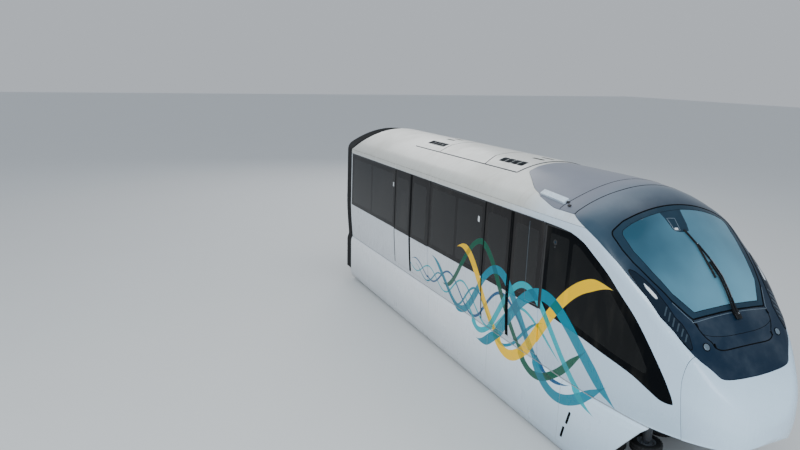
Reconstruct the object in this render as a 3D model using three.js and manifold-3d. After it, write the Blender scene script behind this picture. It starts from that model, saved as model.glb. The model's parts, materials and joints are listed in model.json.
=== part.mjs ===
// Lead car of a straddle-beam monorail train. Millimetres: +X to the nose, +Y to the car's left, +Z up.
// The origin is on the beam's running surface, on the centre line, 6695 mm ahead of the rear frame.
import * as THREE from "three";
import { mergeVertices } from "three/addons/utils/BufferGeometryUtils.js";
import Module from "manifold-3d";

const wasm = await Module();
wasm.setup();

// Car body, driving sizes
const NOSE_TIP = 6840;
const BODY_REAR = -6695;
const HALF_WIDTH = 1585;
const WAIST_Z = 1643;
const WINDOW_TOP_Z = 3239;
const ROOF_EDGE_IN = 26;
const SILL_Z = 574;
const SILL_IN = 70;
const WALL = 70;
const SHELL_GAP = 0.3;
const GLASS_THICK = 10;

// Nose, driving sizes: plan as a superellipse, then from the mask's lower edge a curve down to the tip
const TAPER_START = 3705;
const TAPER_POWER_X = 2.35;
const TAPER_POWER_Y = 2.4;
const BROW = { x: 6415, z: 1570, slope: 1.2 };
const NOSE_TIP_Z = 920;
const NOSE_CHIN_RADIUS = 225;
const NOSE_CHIN_Z = 540;
const BELLY_FALL = { start: 5000, slope: 0.054 };

// Height of the roof's and windscreen's centre line, from the flat roof to the nose: x, z
const CREST = [
  [2700, 4050], [3300, 4045], [3855, 3990], [4205, 3870], [4475, 3720], [4805, 3420],
  [5135, 3085], [5445, 2760], [5745, 2430], [5905, 2270], [6105, 2020], [6245, 1810], [BROW.x, BROW.z],
];
// Drop from the centre line to the shoulder, where the mask meets the white side: x, drop
const CROWN_DROP = [
  [3705, 517], [4772, 385], [5139, 280], [5468, 190], [5765, 160], [6040, 130], [6300, 60], [6600, 20],
];

// Doors: two doorways a side, each with two sliding leaves
const DOOR_CENTRES = [-2325, 2145];
const LEAF_WIDTH = 978;
const LEAF_MEET_GAP = 10;
const LEAF_THICK = 26;
const LEAF_CLEARANCE = 5;
const LEAF_BOTTOM_Z = 706;
const LEAF_TOP_Z = 3275;
const GUIDE_FIN_Z = [3252, 3264];
const GUIDE_FIN_DEPTH = 4;
const DOORWAY_HALF = 800;
const DOORWAY_BOTTOM_Z = 700;
const DOORWAY_TOP_Z = 2760;
const DOOR_TRAVEL = 790;

// Bogies: one load axle with twin tyres, four guide wheels and two stabilising wheels each
const BOGIE_X = [-5145, 4305];
const LOAD_RADIUS = 503;
const LOAD_TYRE_WIDTH = 250;
const LOAD_TYRE_Y = 185;
const BEAM_HALF = 345;
const SIDE_RADIUS = 270;
const SIDE_TYRE_WIDTH = 180;
const GUIDE_Z = -270;
const STABILISER_Z = -640;
const GUIDE_DX = 780;
const SIDE_WHEEL_Y = BEAM_HALF + SIDE_RADIUS;
const BOGIE_TOP_Z = 470;

// Skirts, floor and bellows
const SKIRT_TOP_Z = 560;
const SKIRT_SHOULDER_Z = 420;
const SKIRT_OUT = 14;
const SKIRT_CURVE_Z = -605;
const SKIRT_BOTTOM_Z = -870;
const SKIRT_THICK = 36;
const FLOOR_Z = 700;
const FLOOR_THICK = 60;
const UNDERFRAME_BOTTOM_Z = BOGIE_TOP_Z + SHELL_GAP;
const BELLOWS_LENGTH = 480;

// Cutting shapes: how far they reach past the car, past the rear frame and out of the body's surface
const PAST = { x: 9000, y: 2000, z: 5000 };
const OPEN_REAR = 400;
const OUTSIDE = -2;

const WHITE = { color: 0xe9edef, roughness: 0.25, metalness: 0.1 };
const ROOF_WHITE = { color: 0xdedbd4, roughness: 0.5, metalness: 0.1 };
const SLATE = { color: 0x39434d, roughness: 0.25, metalness: 0.1 };
const GREY_PANEL = { color: 0x77797c, roughness: 0.6, metalness: 0.1 };
const DARK_GLASS = { color: 0x1c1a19, roughness: 0.1, metalness: 0.0 };
const SCREEN_GLASS = { color: 0x5f8592, roughness: 0.05, metalness: 0.0 };
const STEEL = { color: 0x4a4d50, roughness: 0.55, metalness: 0.6 };
const RUBBER = { color: 0x16171a, roughness: 0.9, metalness: 0.0 };
const INTERIOR = { color: 0xb8babc, roughness: 0.7, metalness: 0.0 };
const SEAT_PLASTIC = { color: 0x1f7f86, roughness: 0.5, metalness: 0.0 };
const HANDRAIL = { color: 0xc9cccf, roughness: 0.3, metalness: 0.9 };

const group = new THREE.Group();

// Solids

function toSolid(geometry) {
  const g = geometry.clone();
  g.deleteAttribute("normal");
  g.deleteAttribute("uv");
  const merged = mergeVertices(g, 1e-3);
  const corners = Array.from(merged.index.array);
  const faces = [];
  for (let i = 0; i < corners.length; i += 3) {
    const [a, b, c] = corners.slice(i, i + 3);
    if (a !== b && b !== c && c !== a) faces.push(a, b, c);
  }
  const mesh = new wasm.Mesh({
    numProp: 3,
    vertProperties: new Float32Array(merged.attributes.position.array),
    triVerts: new Uint32Array(faces),
  });
  return new wasm.Manifold(mesh);
}

function addNode(name, solid, look) {
  const mesh = solid.getMesh();
  const geometry = new THREE.BufferGeometry();
  geometry.setAttribute("position", new THREE.BufferAttribute(mesh.vertProperties, 3));
  geometry.setIndex(new THREE.BufferAttribute(mesh.triVerts, 1));
  geometry.computeVertexNormals();
  const node = new THREE.Mesh(geometry, new THREE.MeshStandardMaterial(look));
  node.name = name;
  group.add(node);
}

function block([x0, x1], [y0, y1], [z0, z1]) {
  const g = new THREE.BoxGeometry(x1 - x0, y1 - y0, z1 - z0);
  g.translate((x0 + x1) / 2, (y0 + y1) / 2, (z0 + z1) / 2);
  return toSolid(g);
}

// A block on both sides of the centre line
function blockPair(x, [y0, y1], z) {
  return [block(x, [y0, y1], z), block(x, [-y1, -y0], z)];
}

function join(solids) {
  return solids.reduce((sum, s) => sum.add(s));
}

// A round bar along one axis, from its middle
function bar(axis, radius, length, [x, y, z], sides = 20) {
  const g = new THREE.CylinderGeometry(radius, radius, length, sides);
  if (axis === "x") g.rotateZ(Math.PI / 2);
  if (axis === "z") g.rotateX(Math.PI / 2);
  g.translate(x, y, z);
  return toSolid(g);
}

// A turned ring or disc whose profile lists [radius, offset along the axis]
function turned(axis, profile, [x, y, z], sides = 32) {
  const points = [...profile, profile[0]].map(([r, a]) => new THREE.Vector2(r, a));
  const g = new THREE.LatheGeometry(points, sides);
  if (axis === "x") g.rotateZ(-Math.PI / 2);
  if (axis === "z") g.rotateX(Math.PI / 2);
  g.translate(x, y, z);
  return toSolid(g);
}

// An outline of [x, z] points, as wide as the car
function sidePrism(points, [y0, y1] = [-PAST.y, PAST.y]) {
  const shape = new THREE.Shape(points.map(([x, z]) => new THREE.Vector2(x, z)));
  const g = new THREE.ExtrudeGeometry(shape, { depth: y1 - y0, bevelEnabled: false });
  g.rotateX(Math.PI / 2);
  g.translate(0, y1, 0);
  return toSolid(g);
}

// An outline of [x, y] points seen from above
function planPrism(points, [z0, z1]) {
  const shape = new THREE.Shape(points.map(([x, y]) => new THREE.Vector2(x, y)));
  const g = new THREE.ExtrudeGeometry(shape, { depth: z1 - z0, bevelEnabled: false });
  g.translate(0, 0, z0);
  return toSolid(g);
}

// An outline of [y, z] points carried along the car
function lengthPrism(points, [x0, x1]) {
  const shape = new THREE.Shape(points.map(([y, z]) => new THREE.Vector2(y, z)));
  const g = new THREE.ExtrudeGeometry(shape, { depth: x1 - x0, bevelEnabled: false });
  g.rotateX(Math.PI / 2);
  g.rotateZ(Math.PI / 2);
  g.translate(x0, 0, 0);
  return toSolid(g);
}

function interpolate(table, x) {
  if (x <= table[0][0]) return table[0][1];
  for (let i = 1; i < table.length; i++) {
    const [x0, v0] = table[i - 1];
    const [x1, v1] = table[i];
    if (x <= x1) return v0 + ((v1 - v0) * (x - x0)) / (x1 - x0);
  }
  return table[table.length - 1][1];
}

// Body surface: half width, centre line and belly at any x, for the surface set in by some depth

function halfWidth(x, inset) {
  const tip = NOSE_TIP - inset;
  if (x <= TAPER_START) return HALF_WIDTH - inset;
  const s = Math.min(1, (x - TAPER_START) / (tip - TAPER_START));
  return (HALF_WIDTH - inset) * Math.pow(1 - Math.pow(s, TAPER_POWER_X), 1 / TAPER_POWER_Y);
}

function crestZ(x, inset) {
  const browX = BROW.x - 0.7 * inset;
  if (x > browX) return browZ(x, inset);
  // On the sloping screen the inner surface is further back as well as lower
  const lean = x > 4300 ? 0.8 : (0.8 * Math.max(0, x - 3000)) / 1300;
  return interpolate(CREST, x + inset * lean) - inset * (1 - 0.35 * lean);
}

// A quadratic curve that leaves the brow along its slope and is upright at the tip
function browZ(x, inset) {
  const [browX, tipX] = [BROW.x - 0.7 * inset, NOSE_TIP - inset];
  const start = BROW.z - 0.7 * inset;
  const control = start - BROW.slope * (tipX - browX);
  const t = 1 - Math.sqrt(Math.max(0, 1 - (x - browX) / (tipX - browX)));
  return (1 - t) ** 2 * start + 2 * t * (1 - t) * control + t ** 2 * NOSE_TIP_Z;
}

function bellyZ(x, inset) {
  const radius = NOSE_CHIN_RADIUS - inset;
  const centre = NOSE_TIP - NOSE_CHIN_RADIUS;
  const flat = Math.max(NOSE_CHIN_Z, SILL_Z - BELLY_FALL.slope * Math.max(0, x - BELLY_FALL.start));
  if (x <= centre) return flat + inset;
  return NOSE_CHIN_Z + NOSE_CHIN_RADIUS - Math.sqrt(Math.max(0, radius ** 2 - (x - centre) ** 2));
}

const CROWN_STEPS = 6;
const CORNER_STEPS = 4;
const SIDE_STEPS = 6;

// Right half of the section at x, from the centre line at the top down to the belly: [y, z]
function halfSection(x, inset) {
  const w = halfWidth(x, inset);
  const top = crestZ(x, inset);
  const bottom = bellyZ(x, inset);
  const height = Math.max(top - bottom, 0);
  const lean = Math.min(1, w / 800) * ROOF_EDGE_IN;
  const shoulderY = Math.max(w - lean, 0.5 * w);
  const drop = Math.min(interpolate(CROWN_DROP, x), 0.3 * height);
  const shoulderZ = top - drop;
  const corner = Math.min(190, 0.4 * w, 0.35 * height);
  const crownEnd = shoulderY - corner;
  const crown = (y) => top - drop * (y / shoulderY) ** 2;
  const waistZ = Math.min(WAIST_Z, bottom + 0.45 * height);
  const sideTop = shoulderZ - corner;
  const side = (z) => {
    if (z > waistZ) return w - lean * ((z - waistZ) / Math.max(1, shoulderZ - waistZ));
    return w - Math.min(SILL_IN, 0.2 * w) * ((waistZ - z) / Math.max(1, waistZ - bottom)) ** 1.4;
  };
  const points = [];
  for (let i = 0; i <= CROWN_STEPS; i++) {
    const y = (crownEnd * i) / CROWN_STEPS;
    points.push([y, crown(y)]);
  }
  const [y0, z0] = [crownEnd, crown(crownEnd)];
  const [y1, z1] = [side(sideTop), sideTop];
  const [yc, zc] = [shoulderY, shoulderZ];
  for (let i = 1; i < CORNER_STEPS; i++) {
    const t = i / CORNER_STEPS;
    const [a, b, c] = [(1 - t) ** 2, 2 * t * (1 - t), t ** 2];
    points.push([a * y0 + b * yc + c * y1, a * z0 + b * zc + c * z1]);
  }
  for (let i = 0; i <= SIDE_STEPS; i++) {
    const z = sideTop + ((bottom - sideTop) * i) / SIDE_STEPS;
    points.push([side(z), z]);
  }
  return points;
}

// Places of the body's sections: the table's own in front of the doors, then closer together round the nose
const STATIONS = [
  BODY_REAR, 1300, 3300, TAPER_START, ...CREST.map(([x]) => x).filter((x) => x > TAPER_START),
  6510, 6590, 6655, 6710, 6755, 6790, 6815, 6832,
];

// A closed solid through rings of [x, y, z] points, each ring turning clockwise as seen from the front
function loft(rings) {
  const count = rings[0].length;
  const faces = [];
  for (let i = 0; i + 1 < rings.length; i++) {
    for (let j = 0; j < count; j++) {
      const [a, b] = [i * count + j, i * count + ((j + 1) % count)];
      const [c, d] = [a + count, b + count];
      faces.push(a, d, b, a, c, d);
    }
  }
  const outline = rings[0].map(([, y, z]) => new THREE.Vector2(y, z));
  const last = (rings.length - 1) * count;
  for (const [a, b, c] of THREE.ShapeUtils.triangulateShape(outline, [])) {
    faces.push(a, c, b);
    faces.push(last + a, last + b, last + c);
  }
  const g = new THREE.BufferGeometry();
  g.setAttribute("position", new THREE.Float32BufferAttribute(rings.flat(2), 3));
  g.setIndex(faces);
  return toSolid(g);
}

// The closed body from the rear frame to the nose tip, set in by some depth
function bodyForm(inset, stretch = 0) {
  const noseScale = (NOSE_TIP - inset - TAPER_START) / (NOSE_TIP - TAPER_START);
  const rings = STATIONS.map((station, i) => {
    const inNose = station > TAPER_START;
    const x = inNose ? TAPER_START + (station - TAPER_START) * noseScale : station - (i === 0 ? stretch : 0);
    const half = halfSection(x, inset);
    const other = half.slice(1).reverse().map(([y, z]) => [-y, z]);
    return [...half, ...other].map(([y, z]) => [x, y, z]);
  });
  return loft(rings);
}

const outer = bodyForm(0);
const inner = bodyForm(WALL, OPEN_REAR);
const shell = outer.subtract(inner);
const glassLayer = outer.subtract(bodyForm(GLASS_THICK, OPEN_REAR));
const glassPocket = bodyForm(OUTSIDE, OPEN_REAR).subtract(bodyForm(GLASS_THICK + SHELL_GAP, OPEN_REAR));

// Outlines of the panels, as seen from the side [x, z] or from above [x, half width]

const MASK_EDGE = [
  [3700, 3558], [4352, 3291], [4761, 3045], [5138, 2777], [5466, 2532], [5767, 2245], [6055, 1954],
  [6251, 1748],
  [6379, 1594], [6430, 1556],
];
const ROOF_PANEL_EDGE = [[1400, 250], [1520, 800], [2261, 1220], [2885, 1450], [3240, 1530], [3884, 1560]];
// Seam across the roof between the grey panel and the mask, curved forward in the middle: x, half width
const ROOF_SEAM = [[3728, 1400], [3748, 1160], [3782, 870], [3822, 530], [3835, 170]];
const SCREEN_EDGE = [
  [4430, 600], [4432, 1050], [4484, 1335], [4744, 1308], [4963, 1256], [5268, 1136], [5543, 992], [5791, 789],
  [5806, 400],
];
const CAB_PANE = [
  [3170, WAIST_Z], [3170, WINDOW_TOP_Z], [3790, 3250], [4092, 3175], [4340, 3035], [4688, 2800], [4943, 2569],
  [5254, 2278], [5479, 1997], [5730, 1623], [5903, 1317], [5975, 1120], [5955, 1072], [5801, 1066],
  [5636, 1165], [5378, 1295], [5100, 1380], [4799, 1445], [4508, 1505], [4144, 1560], [3600, 1612],
];
const COWL_EDGE = [
  [6150, 1960], [6082, 1765], [6058, 1600], [6054, 1440], [6083, 1090], [6110, 600], [6115, 300],
];

function closedAbove(edge) {
  const [first, last] = [edge[0], edge[edge.length - 1]];
  return [[first[0], PAST.z], ...edge, [PAST.x, last[1]], [PAST.x, PAST.z]];
}

function mirroredPlan(edge) {
  const other = edge.slice().reverse().map(([x, y]) => [x, -y]);
  return [...other, ...edge];
}

// A plan outline whose sides keep one depth inside the body's widest line
function taperedPlan(x0, x1, inset) {
  const xs = [x0, ...STATIONS.filter((x) => x >= TAPER_START && x < x1 - 20), x1];
  const edge = xs.map((x) => [x, halfWidth(x, 0) - inset]);
  return [...edge.map(([x, y]) => [x, -y]), ...edge.reverse()];
}

function shifted(points, dx, dz) {
  return points.map(([x, z]) => [x + dx, z + dz]);
}

// The region ahead of the seam across the roof, from some distance in front of it or behind it
function aheadOfSeam(dx) {
  const edge = [[ROOF_SEAM[0][0], PAST.y], ...ROOF_SEAM].map(([x, y]) => [x + dx, y]);
  const other = edge.slice().reverse().map(([x, y]) => [x, -y]);
  return planPrism([...edge, ...other, [PAST.x, -PAST.y], [PAST.x, PAST.y]], [-PAST.z, PAST.z]);
}

const maskRegion = sidePrism(closedAbove(MASK_EDGE));
const maskCut = sidePrism(closedAbove(shifted(MASK_EDGE, -SHELL_GAP, -SHELL_GAP)));
const maskSpace = maskCut.intersect(aheadOfSeam(-SHELL_GAP));
const ROOF_PANEL_BOTTOM_Z = 3480;
const SCREEN_BOTTOM_Z = 1500;
const SCREEN_TOP_CORNER_X = 4485;
const [[roofPanelRear, roofPanelRearY]] = ROOF_PANEL_EDGE;
const roofPanelRegion = planPrism(mirroredPlan(ROOF_PANEL_EDGE), [ROOF_PANEL_BOTTOM_Z, PAST.z]);
const roofPanelHole = [
  [roofPanelRear - SHELL_GAP, roofPanelRearY], ...ROOF_PANEL_EDGE.map(([x, y]) => [x, y + SHELL_GAP]),
];
const roofPanelCut = planPrism(mirroredPlan(roofPanelHole), [ROOF_PANEL_BOTTOM_Z - SHELL_GAP, PAST.z])
  .subtract(aheadOfSeam(0));
const screenRegion = planPrism(mirroredPlan(SCREEN_EDGE), [SCREEN_BOTTOM_Z, PAST.z]);
const screenHole = planPrism(mirroredPlan(SCREEN_EDGE.map(([x, y]) =>
  [x + (x < SCREEN_TOP_CORNER_X ? -SHELL_GAP : SHELL_GAP), y + SHELL_GAP])), [SCREEN_BOTTOM_Z, PAST.z]);

// Roof, mask, windscreen and cowl
const EAVE_SPLIT_Z = 3400;
const SPLIT = SHELL_GAP / 2;
const [acrossCar, fullHeight] = [[-PAST.y, PAST.y], [-PAST.z, PAST.z]];
const aboveEave = block([-PAST.x, PAST.x], acrossCar, [EAVE_SPLIT_Z + SPLIT, PAST.z]);
const belowEave = block([-PAST.x, PAST.x], acrossCar, [0, EAVE_SPLIT_Z - SPLIT]);
const ahead = (x) => block([x, PAST.x], acrossCar, fullHeight);
const behind = (x) => block([-PAST.x, x], acrossCar, fullHeight);
const leftHalf = block([-PAST.x, PAST.x], [SPLIT, PAST.y], fullHeight);
const rightHalf = block([-PAST.x, PAST.x], [-PAST.y, -SPLIT], fullHeight);

// The air unit: a low curved lid over a box let into the roof
const ROOF_UNIT = { x: [-3450, 1290], halfWidth: 950, bottom: 3800, proud: 15 };
const { x: roofUnitX, halfWidth: unitY } = ROOF_UNIT;
const roofCurve = (y) => crestZ(BODY_REAR, 0) - CROWN_DROP[0][1] * (y / (HALF_WIDTH - ROOF_EDGE_IN)) ** 2;
const unitCurve = [1, 0.75, 0.5, 0.25, 0, -0.25, -0.5, -0.75, -1].map((f) =>
  [f * unitY, roofCurve(f * unitY) + ROOF_UNIT.proud]);
const roofUnitSection = [[-unitY, ROOF_UNIT.bottom], [unitY, ROOF_UNIT.bottom], ...unitCurve];
const roofUnit = lengthPrism(roofUnitSection, roofUnitX);
const roofUnitHole = block([roofUnitX[0] - SHELL_GAP, roofUnitX[1] + SHELL_GAP],
  [-unitY - SHELL_GAP, unitY + SHELL_GAP], [ROOF_UNIT.bottom - SHELL_GAP, PAST.z]);

const roof = shell.intersect(aboveEave).subtract(maskSpace).subtract(roofPanelCut).subtract(roofUnitHole);
addNode("roof_shell", roof, ROOF_WHITE);
addNode("cab_roof_panel", shell.intersect(roofPanelRegion).subtract(aheadOfSeam(-SHELL_GAP)), GREY_PANEL);
addNode("nose_mask", shell.intersect(maskRegion).intersect(aheadOfSeam(0)).subtract(screenHole), SLATE);
addNode("windscreen", glassLayer.intersect(maskRegion).intersect(screenRegion), SCREEN_GLASS);
addNode("roof_air_unit", roofUnit, ROOF_WHITE);

const [[, cowlTop], [, cowlBottom]] = [COWL_EDGE[0], COWL_EDGE[COWL_EDGE.length - 1]];
const cowlRegion = (dx) => sidePrism([...shifted(COWL_EDGE, dx, 0), [PAST.x, cowlBottom], [PAST.x, cowlTop]]);
addNode("nose_cowl", shell.intersect(cowlRegion(0)).subtract(maskSpace), WHITE);

// Side walls with their windows and doorways, and the flush glazing
const WINDOW_INSET = 110;
const paneOutline = (x0, x1) => [[x0, WAIST_Z], [x0, WINDOW_TOP_Z], [x1, WINDOW_TOP_Z], [x1, WAIST_Z]];
const PANES = [
  { name: "rear", outline: paneOutline(-6640, -3340) },
  { name: "middle", outline: paneOutline(-1320, 1140) },
];

function paneHole([x0, x1]) {
  return block([x0, x1], acrossCar, [WAIST_Z + WINDOW_INSET, WINDOW_TOP_Z - WINDOW_INSET]);
}

const WINDOW_OPENINGS = [[-6480, -5050], [-4950, -3460], [-1210, -90], [10, 1040], [3290, 3790]];
const CAB_OPENING = [
  [3890, WAIST_Z + 80], [3890, 3110], [4080, 3040], [4560, 2730], [4860, 2450], [5160, 2130], [5380, 1830],
  [5560, 1530], [5560, 1400], [5150, 1500], [4700, 1600], [4200, 1690],
];

const FLOOR_FRONT = 5700;
const BELLY_OPENING = [BODY_REAR - 300, FLOOR_FRONT + 60];
let walls = shell.intersect(belowEave).subtract(cowlRegion(-SHELL_GAP)).subtract(maskSpace);
walls = walls.subtract(planPrism(taperedPlan(...BELLY_OPENING, WALL + SILL_IN), [0, FLOOR_Z]));
for (const x of DOOR_CENTRES) {
  walls = walls.subtract(
    block([x - DOORWAY_HALF, x + DOORWAY_HALF], acrossCar, [DOORWAY_BOTTOM_Z, DOORWAY_TOP_Z]));
}
for (const pane of PANES) {
  const [[x0, z0], , [x1, z1]] = pane.outline;
  const cut = block([x0 - SHELL_GAP, x1 + SHELL_GAP], acrossCar, [z0 - SHELL_GAP, z1 + SHELL_GAP]);
  walls = walls.subtract(cut.intersect(glassPocket));
}
const cabPaneCut = join([[-SHELL_GAP, 0], [SHELL_GAP, 0], [0, SHELL_GAP], [0, -SHELL_GAP]].map(([dx, dz]) =>
  sidePrism(shifted(CAB_PANE, dx, dz))));
walls = walls.subtract(cabPaneCut.intersect(glassPocket));
// Grooves above the windows, in which the door leaves hang and run
const GROOVE_CLEARANCE = { depth: 1, height: 0.5, end: 20 };
const grooveLayer = bodyForm(OUTSIDE, OPEN_REAR)
  .subtract(bodyForm(GUIDE_FIN_DEPTH + GROOVE_CLEARANCE.depth, OPEN_REAR));
for (const x of DOOR_CENTRES) {
  const reach = LEAF_WIDTH + DOOR_TRAVEL + GROOVE_CLEARANCE.end;
  walls = walls.subtract(grooveLayer.intersect(block([x - reach, x + reach], acrossCar,
    [GUIDE_FIN_Z[0] - GROOVE_CLEARANCE.height, GUIDE_FIN_Z[1] + GROOVE_CLEARANCE.height])));
}
for (const opening of WINDOW_OPENINGS) walls = walls.subtract(paneHole(opening));
walls = walls.subtract(sidePrism(CAB_OPENING));

const SIDES = [["left", leftHalf, 1], ["right", rightHalf, -1]];
// The joint between side wall and cab side lies behind the front door's leaf
const CAB_JOINT_X = 3050;
for (const [side, half] of SIDES) {
  addNode(`side_wall_${side}`, walls.intersect(half).intersect(behind(CAB_JOINT_X - SPLIT)), WHITE);
  addNode(`cab_side_${side}`, walls.intersect(half).intersect(ahead(CAB_JOINT_X + SPLIT)), WHITE);
  for (const pane of PANES) {
    const glass = glassLayer.intersect(sidePrism(pane.outline)).intersect(half);
    addNode(`${pane.name}_window_${side}`, glass, DARK_GLASS);
  }
  addNode(`cab_window_${side}`, glassLayer.intersect(sidePrism(CAB_PANE)).intersect(half), DARK_GLASS);
}

// Door leaves: each follows the wall's curve and slides along it
const leafOuter = bodyForm(-LEAF_CLEARANCE - LEAF_THICK, OPEN_REAR);
const leafInner = bodyForm(-LEAF_CLEARANCE, OPEN_REAR);
const leafLayer = leafOuter.subtract(leafInner);
const FIN_OVERLAP = 1;
const finLayer = bodyForm(-LEAF_CLEARANCE - FIN_OVERLAP, OPEN_REAR)
  .subtract(bodyForm(GUIDE_FIN_DEPTH, OPEN_REAR));
const LEAF_WINDOW = { inset: 130, bottom: 1750, top: 3090 };
DOOR_CENTRES.forEach((centre, index) => {
  for (const [side, half] of SIDES) {
    for (const [end, sign] of [["rear", -1], ["front", 1]]) {
      const near = centre + (sign * LEAF_MEET_GAP) / 2;
      const far = near + sign * LEAF_WIDTH;
      const [x0, x1] = sign > 0 ? [near, far] : [far, near];
      const panel = block([x0, x1], acrossCar, [LEAF_BOTTOM_Z, LEAF_TOP_Z]);
      const hole = block([x0 + LEAF_WINDOW.inset, x1 - LEAF_WINDOW.inset], acrossCar,
        [LEAF_WINDOW.bottom, LEAF_WINDOW.top]);
      const fin = finLayer.intersect(block([x0, x1], acrossCar, GUIDE_FIN_Z));
      const leaf = leafLayer.intersect(panel).subtract(hole).add(fin).intersect(half);
      addNode(`door_${index + 1}_${side}_${end}_leaf`, leaf, WHITE);
    }
  }
});

// Skirts either side of the beam
const SKIRT_EDGE = [
  [60, SKIRT_TOP_Z], [SKIRT_OUT, SKIRT_SHOULDER_Z], [SKIRT_OUT, SKIRT_CURVE_Z],
  [SKIRT_OUT + 28, SKIRT_CURVE_Z - 110], [SKIRT_OUT + 95, SKIRT_CURVE_Z - 205], [SKIRT_OUT + 190, SKIRT_BOTTOM_Z],
];
const SKIRT_FRONT = [
  [BODY_REAR - 50, SKIRT_BOTTOM_Z - 50], [BODY_REAR - 50, SKIRT_TOP_Z + 50], [4950, SKIRT_TOP_Z + 50],
  [5000, 562], [5650, 525], [5080, -250], [4900, -600], [4850, SKIRT_BOTTOM_Z - 50],
];
const skirtStations = [BODY_REAR, ...STATIONS.filter((x) => x >= TAPER_START && x <= 5750)];

function skirtRing(x, sign) {
  const w = halfWidth(x, 0);
  const face = SKIRT_EDGE.map(([inset, z]) => [w - inset, z]);
  const back = SKIRT_EDGE.map(([inset, z]) => [w - inset - SKIRT_THICK, z]).reverse();
  const ring = [...face, ...back].map(([y, z]) => [x, sign * y, z]);
  return sign > 0 ? ring : ring.reverse();
}

for (const [side, , sign] of SIDES) {
  const skirt = loft(skirtStations.map((x) => skirtRing(x, sign)));
  addNode(`skirt_${side}`, skirt.intersect(sidePrism(SKIRT_FRONT)), WHITE);
}

// Floor, underframe and the covers over the load wheels
const WELL_HALF_LENGTH = 600;
const WELL_HALF_WIDTH = 400;
const WELL_TOP_Z = 1100;
const WELL_PLATE = 12;
const FLOOR_INSET = WALL + SILL_IN + 8;
const inCabin = bodyForm(WALL + SHELL_GAP, OPEN_REAR);
const [wellInsideX, wellInsideY] = [WELL_HALF_LENGTH - WELL_PLATE, WELL_HALF_WIDTH - WELL_PLATE];
const FLOOR_INTO_WALL = 40;
const STRAIGHT_FLOOR = { front: 5600, y: [-1440, 1440] };
const GANGWAY_PLATE = { onFloor: 60, halfWidth: 600, z: [FLOOR_Z - 20, FLOOR_Z + 12] };

let floor = planPrism(taperedPlan(BODY_REAR, FLOOR_FRONT, FLOOR_INSET), [FLOOR_Z - FLOOR_THICK, FLOOR_Z]);
for (const x of BOGIE_X) {
  floor = floor.subtract(block([x - wellInsideX, x + wellInsideX], [-wellInsideY, wellInsideY], fullHeight));
}
const gangwayPlate = block([BODY_REAR - BELLOWS_LENGTH, BODY_REAR + GANGWAY_PLATE.onFloor],
  [-GANGWAY_PLATE.halfWidth, GANGWAY_PLATE.halfWidth], GANGWAY_PLATE.z);
const floorRoom = bodyForm(WALL + SHELL_GAP - FLOOR_INTO_WALL, OPEN_REAR)
  .add(block([-PAST.x, STRAIGHT_FLOOR.front], STRAIGHT_FLOOR.y, fullHeight));
addNode("floor", floor.intersect(floorRoom).add(gangwayPlate), INTERIOR);

const UNDERFRAME_Z = [UNDERFRAME_BOTTOM_Z, FLOOR_Z - FLOOR_THICK - SHELL_GAP];
const LONG_SILL_Y = [1090, 1430];
const CROSS_MEMBERS = [-6450, -3900, -2900, -1750, -300, 1200, 2600, 3350, 5300];
const OUTRIGGERS = [-6350, -3900, -1750, -300, 1200, 2900, 3450];
const OUTRIGGER_Z = [480, 540];
const OUTRIGGER_Y = [1400, 1495];
const CROSS_HALF = { x: 80, y: 1100 };
const OUTRIGGER_HALF = 60;
const LONG_SILL_X = [BODY_REAR + 60, 5380];
const JACKING_PADS = { x: [-1050, -750], y: [1110, 1410], z: [UNDERFRAME_BOTTOM_Z - 20, FLOOR_Z - 200] };
const UNDERFRAME_INSET = FLOOR_INSET + 5;
const crossMembers = CROSS_MEMBERS.map((x) =>
  block([x - CROSS_HALF.x, x + CROSS_HALF.x], [-CROSS_HALF.y, CROSS_HALF.y], UNDERFRAME_Z));
const outriggers = OUTRIGGERS.flatMap((x) =>
  blockPair([x - OUTRIGGER_HALF, x + OUTRIGGER_HALF], OUTRIGGER_Y, OUTRIGGER_Z));
const longSills = blockPair(LONG_SILL_X, LONG_SILL_Y, UNDERFRAME_Z);
const pads = blockPair(JACKING_PADS.x, JACKING_PADS.y, JACKING_PADS.z);
const underPlan = planPrism(taperedPlan(BODY_REAR - 100, FLOOR_FRONT - 100, UNDERFRAME_INSET), fullHeight);
const underframe = join([...longSills, ...crossMembers]).intersect(underPlan)
  .add(join([...outriggers, ...pads]));
addNode("underframe", underframe, STEEL);

BOGIE_X.forEach((x, i) => {
  const half = WELL_HALF_LENGTH;
  const box = block(
    [x - half, x + half], [-WELL_HALF_WIDTH, WELL_HALF_WIDTH], [FLOOR_Z + SHELL_GAP, WELL_TOP_Z]);
  const hollow = block(
    [x - wellInsideX, x + wellInsideX], [-wellInsideY, wellInsideY], [0, WELL_TOP_Z - WELL_PLATE]);
  addNode(`wheel_housing_${i === 0 ? "rear" : "front"}`, box.subtract(hollow), INTERIOR);
});

// Rear end: bulkhead, half bellows and drawbar
const BULKHEAD_X = [BODY_REAR + 5, BODY_REAR + 75];
const GANGWAY_HALF = 650;
const GANGWAY_TOP_Z = 2750;
const bulkhead = block(BULKHEAD_X, acrossCar, [FLOOR_Z + SHELL_GAP, PAST.z]).intersect(inCabin)
  .subtract(block([-PAST.x, 0], [-GANGWAY_HALF, GANGWAY_HALF], [0, GANGWAY_TOP_Z]));
addNode("rear_bulkhead", bulkhead, WHITE);

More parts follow.
